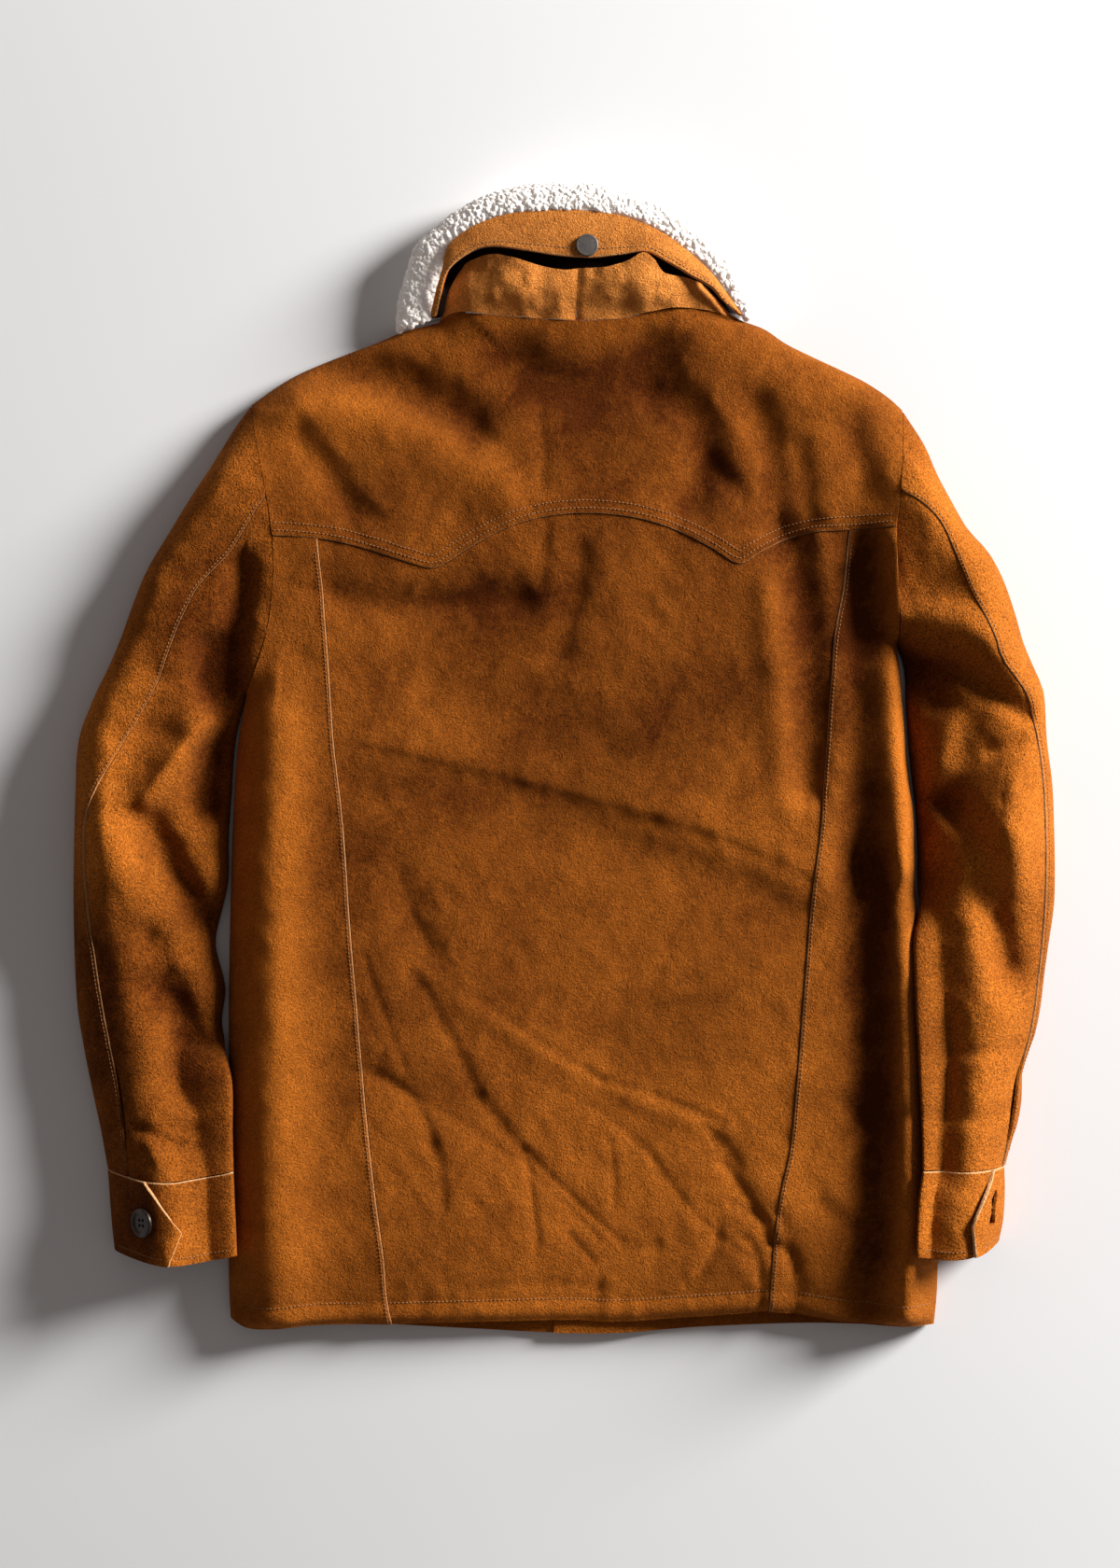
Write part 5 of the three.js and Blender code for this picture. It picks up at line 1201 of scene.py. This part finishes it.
def turned(name, profile, centre, normal, material, node, sides=64, holes=None):
    """A profile of radius and height turned round a normal, with four sunk
    holes where asked: their place along both axes, radius and depth."""
    one, two = frame_on(unit(np.asarray(normal, float)))
    up = unit(np.asarray(normal, float))
    profile = np.asarray(profile, float)
    turn = 2 * np.pi * np.arange(sides) / sides
    ring = np.cos(turn)[:, None] * one + np.sin(turn)[:, None] * two
    high = np.broadcast_to(profile[:, 1:], (len(profile), sides))
    if holes:
        spot, size, depth = holes
        x, y = profile[:, :1] * np.cos(turn), profile[:, :1] * np.sin(turn)
        gap = np.hypot(np.abs(x) - spot, np.abs(y) - spot)
        top = profile[:, 1:] > profile[:, 1:].max() / 3
        high = high - depth * top * (1 - ease((gap - size) / 0.35))
    corners = centre + profile[:, None, :1] * ring[None] + high[..., None] * up
    rings = len(profile)
    ids = np.arange(rings * sides).reshape(rings, sides)
    nxt = np.roll(ids, -1, axis=1)
    quads = np.stack([ids[:-1], nxt[:-1], nxt[1:], ids[1:]], axis=-1).reshape(-1, 4)
    corners = corners.reshape(-1, 3)
    faces = np.concatenate([quads, np.stack([ids[-1], nxt[-1], nxt[0], ids[0]], axis=-1)])
    return make_piece(name, corners, oriented(corners, faces), material, [node], None, 40)


def button(name, centre, normal, node, material):
    """Four-hole button: a dished disc with a rolled rim; the holes are dark sunk eyes."""
    r, t = BUTTON_R, BUTTON_T
    profile = [[r * 0.55, 0.0], [r * 0.9, 0.1], [r * 0.985, 0.55], [r, 1.1], [r, t * 0.6],
               [r * 0.985, t * 0.8], [r * 0.94, t * 0.95], [r * 0.87, t], [r * 0.8, t * 0.96],
               [r * 0.74, t * 0.8], [r * 0.69, t * 0.66]]
    profile += [[reach, t * 0.6] for reach in np.arange(6.2, 0.3, -0.22)] + [[0.02, t * 0.6], [0.02, 0.02]]
    return turned(name, profile, centre, normal, material, node, 112,
                  (1.9, 0.85, 1.3))


def surface_point(height, x, y):
    p, n = on_surface(height, np.array([x]), np.array([y]))
    return p[0], n[0]


class JacketSettings(bpy.types.PropertyGroup):
    """Sizes and colours that a user would change."""
    stitch_pitch: bpy.props.FloatProperty(
        name="Stitch pitch", description="Distance from one stitch to the next",
        default=0.0029, min=0.0015, max=0.006, unit="LENGTH")
    stitch_length: bpy.props.FloatProperty(
        name="Stitch length", description="Length of thread that shows in each stitch",
        default=0.0021, min=0.001, max=0.005, unit="LENGTH")
    curl_count: bpy.props.IntProperty(
        name="Curls", description="Number of wool locks on the collar", default=2700, min=0,
        max=2900)
    # The dark and light tans; the mix between them also paints shade and light on the cloth.
    nap_dark: bpy.props.FloatVectorProperty(
        name="Brushed down nap", description="Colour of suede where its nap lies away",
        default=(0.085, 0.0175, 0.0013), size=3, min=0, max=1, subtype="COLOR")
    nap_light: bpy.props.FloatVectorProperty(
        name="Brushed up nap", description="Colour of suede where its nap stands",
        default=(0.50, 0.142, 0.0145), size=3, min=0, max=1, subtype="COLOR")
    raw_edge: bpy.props.FloatVectorProperty(
        name="Raw edge", description="Colour of the cut edges", default=(0.70, 0.38, 0.17),
        size=3, min=0, max=1, subtype="COLOR")
    key_power: bpy.props.FloatProperty(
        name="Key light", description="Power of the soft light from the upper right",
        default=500.0, min=0, subtype="POWER")


FINISHES = {}


# Painted light, in part: the collar's tans are set paler so that its stand and band read as brightly lit.
COLLAR_DARK, COLLAR_LIGHT = (0.28, 0.082, 0.013), (0.93, 0.338, 0.068)  # the collar's paler suede


def finishes():
    """The jacket's materials, made once."""
    if FINISHES:
        return FINISHES
    s = bpy.context.scene.jacket
    dark, light, edge = tuple(s.nap_dark), tuple(s.nap_light), tuple(s.raw_edge)
    FINISHES["body"] = suede("suede_body", dark, light, edge, 760, 1.5)
    FINISHES["sleeve"] = suede("suede_sleeve", dark, tuple(0.88 * c for c in light), edge,
                               620, 2.3)
    FINISHES["collar"] = suede("suede_collar", COLLAR_DARK, COLLAR_LIGHT, edge, 760, 1.6)
    FINISHES["thread"] = thread_finish()
    FINISHES["wool"] = fleece_finish("fleece_wool", (0.70, 0.60, 0.52), (0.95, 0.90, 0.85))
    FINISHES["horn"] = horn_finish()
    FINISHES["snap"] = snap_finish()
    return FINISHES


class JACKET_OT_back(bpy.types.Operator):
    """Back: yoke with its two points, centre panel and the two side panels that lap over it"""
    bl_idname, bl_label = "jacket.back", "Back panels"

    def execute(self, context):
        m = finishes()["body"]
        points_x = np.searchsorted(LINE["yoke_m"][:, 0], (-92.9, 126.5)) / 240
        columns = np.unique(np.concatenate([shares(385, 0.6, 1.4, 2.4), points_x]).round(5))
        whole = lengths(YOKE_HEM)[-1]
        left = lengths(LINE["yoke_l"])[-1] / whole
        mid = lengths(LINE["yoke_m"])[-1] / whole
        right_x = 1 - (1 - left - mid) * (1 - shares(34, 0.6, 1.4, 3.0))
        yoke_x = np.unique(np.concatenate([left * shares(34, 0.6, 1.4, 3.0),
                                           left + mid * columns, right_x]).round(6))
        panel("back_yoke", [YOKE_TOP, YOKE_HEM, LINE["arm_upper_l"], LINE["arm_upper_r"]],
              [EDGE, SEAM, 0, 0], yoke_x, shares(150, 0.45, 1.4, 3.0), back_top, 1, m,
              lift=lap_at(YOKE_HEM, 16), edge=away(YOKE_HEM))
        panel("back_centre", [LINE["yoke_m"], LINE["hem_m"], LINE["princess_l"], LINE["princess_r"]],
              [SEAM / 2, 0, SEAM * 1.9, SEAM * 1.9], columns, shares(560, 0.6, 1.4, 2.4),
              back_top, 1, m)
        for hand, us, gaps in (("l", 0, [SEAM / 2, 0, EDGE, 0]), ("r", 1, [SEAM / 2, 0, 0, EDGE])):
            sides = [SIDES[hand], LINE[f"princess_{hand}"]]
            edge = LINE[f"princess_{hand}"]
            panel(f"back_side_{SIDE_WORD[hand]}",
                  [LINE[f"yoke_{hand}"], LINE[f"hem_{hand}"], *(sides[::-1] if us else sides)],
                  gaps, shares(100, 0.5, 1.4, 3.0), shares(570, 0.6, 1.4, 3.0), back_top, 1, m,
                  lift=lap_at(edge, 14), edge=away(edge))
        return {"FINISHED"}


class JACKET_OT_fronts(bpy.types.Operator):
    """Fronts: the two front panels that lie on the surface, buttoned together"""
    bl_idname, bl_label = "jacket.fronts", "Front panels"

    def execute(self, context):
        for hand in "lr":
            front(hand, finishes()["body"])
        return {"FINISHED"}


class JACKET_OT_sleeves(bpy.types.Operator):
    """Sleeves: each an outer and an inner cut, joined along a lapped seam"""
    bl_idname, bl_label = "jacket.sleeves", "Sleeves"

    def execute(self, context):
        for hand in "lr":
            for part in ("outer", "inner"):
                sleeve(hand, part, finishes()["sleeve"])
        return {"FINISHED"}


class JACKET_OT_cuffs(bpy.types.Operator):
    """Cuffs: a strip round each wrist that ends in a pointed tab"""
    bl_idname, bl_label = "jacket.cuffs", "Cuffs"

    def execute(self, context):
        for hand in "lr":
            cuff(hand, finishes()["sleeve"])
        return {"FINISHED"}


class JACKET_OT_collar(bpy.types.Operator):
    """Collar: the stand in two halves and the arched band over the fleece"""
    bl_idname, bl_label = "jacket.collar", "Collar stand and band"

    def execute(self, context):
        for hand in "lr":
            stand(hand, finishes()["collar"])
        points, normals = band_grid()
        c = shares(24, 0.4, 1.4, 1.6)
        raw = np.broadcast_to((1 - c) * 24, points.shape[:2])
        cloth("collar_band_cloth", points, normals, finishes()["collar"], "collar_band",
              raw, None, BAND_WALL)
        return {"FINISHED"}


class JACKET_OT_fleece(bpy.types.Operator):
    """Fleece: the curly roll of the collar, in a lumpy body and its locks"""
    bl_idname, bl_label = "jacket.fleece", "Collar fleece"

    def execute(self, context):
        fleece(finishes()["wool"])
        curls(finishes()["wool"], bpy.context.scene.jacket.curl_count)
        return {"FINISHED"}


class JACKET_OT_fastenings(bpy.types.Operator):
    """Fastenings: the cuff and front buttons and the collar's snap"""
    bl_idname, bl_label = "jacket.fastenings", "Buttons and snap"

    def execute(self, context):
        horn = finishes()["horn"]
        for hand in "lr":
            p, n = surface_point(cuff_top(hand, *TAB_RISE[hand]), *CUFF_BUTTON[hand])
            node = f"cuff_button_{SIDE_WORD[hand]}"
            out = 2 * SEAM if hand == "l" else -(WALL + BUTTON_T + 2.2)
            button(node + "_horn", p + n * out, n, node, horn)
        for i, y in enumerate(FRONT_BUTTONS):
            node = f"front_button_{i + 1}"
            button(node + "_horn", np.array([PLACKET_X, y, 0.0]), np.array([0, 0, 1.0]), node, horn)
        points, normals = band_grid()
        row = np.argmin(np.abs(points[:, 14, 0] - SNAP_X))
        up = normals[row, 14]
        profile = [[5.0, 0.0], [7.6, 0.05], [8.0, 0.4], [8.0, 1.7], [7.9, 2.1], [7.6, 2.35],
                   [7.2, 2.42], [6.9, 2.36], [6.6, 2.34], [5.0, 2.45], [2.5, 2.55],
                   [0.02, 2.6], [0.02, 0.02]]
        turned("collar_snap_metal", profile, points[row, 14] + up * 2 * SEAM, up,
               finishes()["snap"], "collar_snap")
        return {"FINISHED"}


class JACKET_OT_stitching(bpy.types.Operator):
    """Stitching: rows of thread along the yoke, seams, hem, cuffs and collar band"""
    bl_idname, bl_label = "jacket.stitching", "Stitching"

    def execute(self, context):
        thread = finishes()["thread"]
        lap = lap_at(YOKE_HEM, 16)
        rows = [on_line(moved(YOKE_HEM, by), back_top, lap) for by in (4.0, 9.4)]
        for hand, by in (("l", -2.4), ("r", 2.4)):
            seam = LINE[f"princess_{hand}"]
            rows.append(on_line(moved(seam, by)[1:], back_top, lap_at(seam, 14)))
        rows.append(on_line(moved(HEM, 16.2)[2:-2], back_top))
        sew("stitching_body", rows, thread)
        rows = []
        for hand, way in (("l", 1), ("r", -1)):
            seam = LINE[f"seam_{hand}"]
            rows.append(on_line(moved(seam, -2.4 * way)[1:-1], lambda x, y: sleeve_top(hand, x, y),
                                lap_at(seam, 12)))
            f = np.linspace(0.06, TABS[hand][-1][1] - 0.04, 60)
            x, y = cuff_point(hand, f, np.full(60, 0.91))
            rows.append(on_surface(cuff_top(hand, *TAB_RISE[hand]), x, y))
            f = np.linspace(TABS[hand][-1][1] + 0.04, 0.94, 60)
            x, y = cuff_point(hand, f, np.full(60, 0.91))
            rows.append(on_surface(cuff_top(hand), x, y))
        sew("stitching_sleeves", rows, thread)
        points, normals = band_grid()
        c = shares(24, 0.4, 1.4, 1.6)
        at = np.searchsorted(c, 1 - 5.4 / 24)
        sew("stitching_collar", [(points[2:-2, at], normals[2:-2, at])], thread)
        return {"FINISHED"}


class JACKET_OT_stage(bpy.types.Operator):
    """Stage: pale floor, soft light from the upper right, weak fill and the camera above"""
    bl_idname, bl_label = "jacket.stage", "Stage"

    def execute(self, context):
        scene = context.scene
        f = Finish("floor_white")
        tone = f.noise(3, 2)
        paper = f.end(f.tint((0.86, 0.865, 0.875), (0.9, 0.905, 0.915), tone), 0.8)
        side = 6.0
        corners = np.array([[-side, -side, 0], [side, -side, 0], [side, side, 0], [-side, side, 0]])
        mesh = bpy.data.meshes.new("floor")
        mesh.from_pydata((corners - [0, 0, 0.0002]).tolist(), [], [[0, 1, 2, 3]])
        mesh.materials.append(paper)
        floor = bpy.data.objects.new("floor", mesh)
        scene.collection.objects.link(floor)
        light = bpy.data.lights.new("key", "AREA")
        light.shape, light.size, light.energy = "DISK", 1.75, scene.jacket.key_power
        light.color = (1.0, 0.985, 0.97)
        key = bpy.data.objects.new("key", light)
        azimuth, elevation, far = math.radians(28), math.radians(19), 4.5
        spot = (math.cos(azimuth) * math.cos(elevation) * far,
                math.sin(azimuth) * math.cos(elevation) * far, math.sin(elevation) * far)
        key.location = spot
        key.rotation_euler = (math.pi / 2 - elevation, 0, azimuth + math.pi / 2)
        scene.collection.objects.link(key)
        world = bpy.data.worlds.new("studio")
        world.use_nodes = True
        sky = world.node_tree.nodes["Background"].inputs
        sky["Color"].default_value, sky["Strength"].default_value = (1.0, 0.91, 0.87, 1), 0.15
        scene.world = world
        lens = bpy.data.cameras.new("camera")
        lens.lens, lens.clip_end = 79.6, 20
        camera = bpy.data.objects.new("camera", lens)
        camera.location = ((-2.7 + SHIFT[0]) * 0.001, (-16.8 + SHIFT[1]) * 0.001, 2.52)
        scene.collection.objects.link(camera)
        scene.camera = camera
        scene.view_settings.view_transform = "Standard"
        return {"FINISHED"}


class JACKET_PT_panel(bpy.types.Panel):
    """Sizes, colours and the pieces, in the order in which they are built"""
    bl_idname, bl_label = "JACKET_PT_panel", "Suede jacket"
    bl_space_type, bl_region_type, bl_category = "VIEW_3D", "UI", "Jacket"

    def draw(self, context):
        for name in JacketSettings.__annotations__:
            self.layout.prop(context.scene.jacket, name)
        for operator in OPERATORS:
            self.layout.operator(operator.bl_idname)


OPERATORS = (JACKET_OT_stage, JACKET_OT_back, JACKET_OT_fronts, JACKET_OT_sleeves,
             JACKET_OT_cuffs, JACKET_OT_collar, JACKET_OT_fleece, JACKET_OT_fastenings,
             JACKET_OT_stitching)


def register():
    for kind in (JacketSettings, *OPERATORS, JACKET_PT_panel):
        bpy.utils.register_class(kind)
    bpy.types.Scene.jacket = bpy.props.PointerProperty(
        type=JacketSettings, name="Jacket", description="The suede jacket's sizes and colours")


def unregister():
    del bpy.types.Scene.jacket
    for kind in (JACKET_PT_panel, *OPERATORS[::-1], JacketSettings):
        bpy.utils.unregister_class(kind)


def main():
    """Registers the add-on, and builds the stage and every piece."""
    register()
    low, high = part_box("front_button_3")
    SHIFT[:2] = ((low[0] + high[0]) * 500 - PLACKET_X, (low[1] + high[1]) * 500 + 30)
    for operator in OPERATORS:
        group, name = operator.bl_idname.split(".")
        getattr(getattr(bpy.ops, group), name)()


if __name__ == "__main__":
    main()
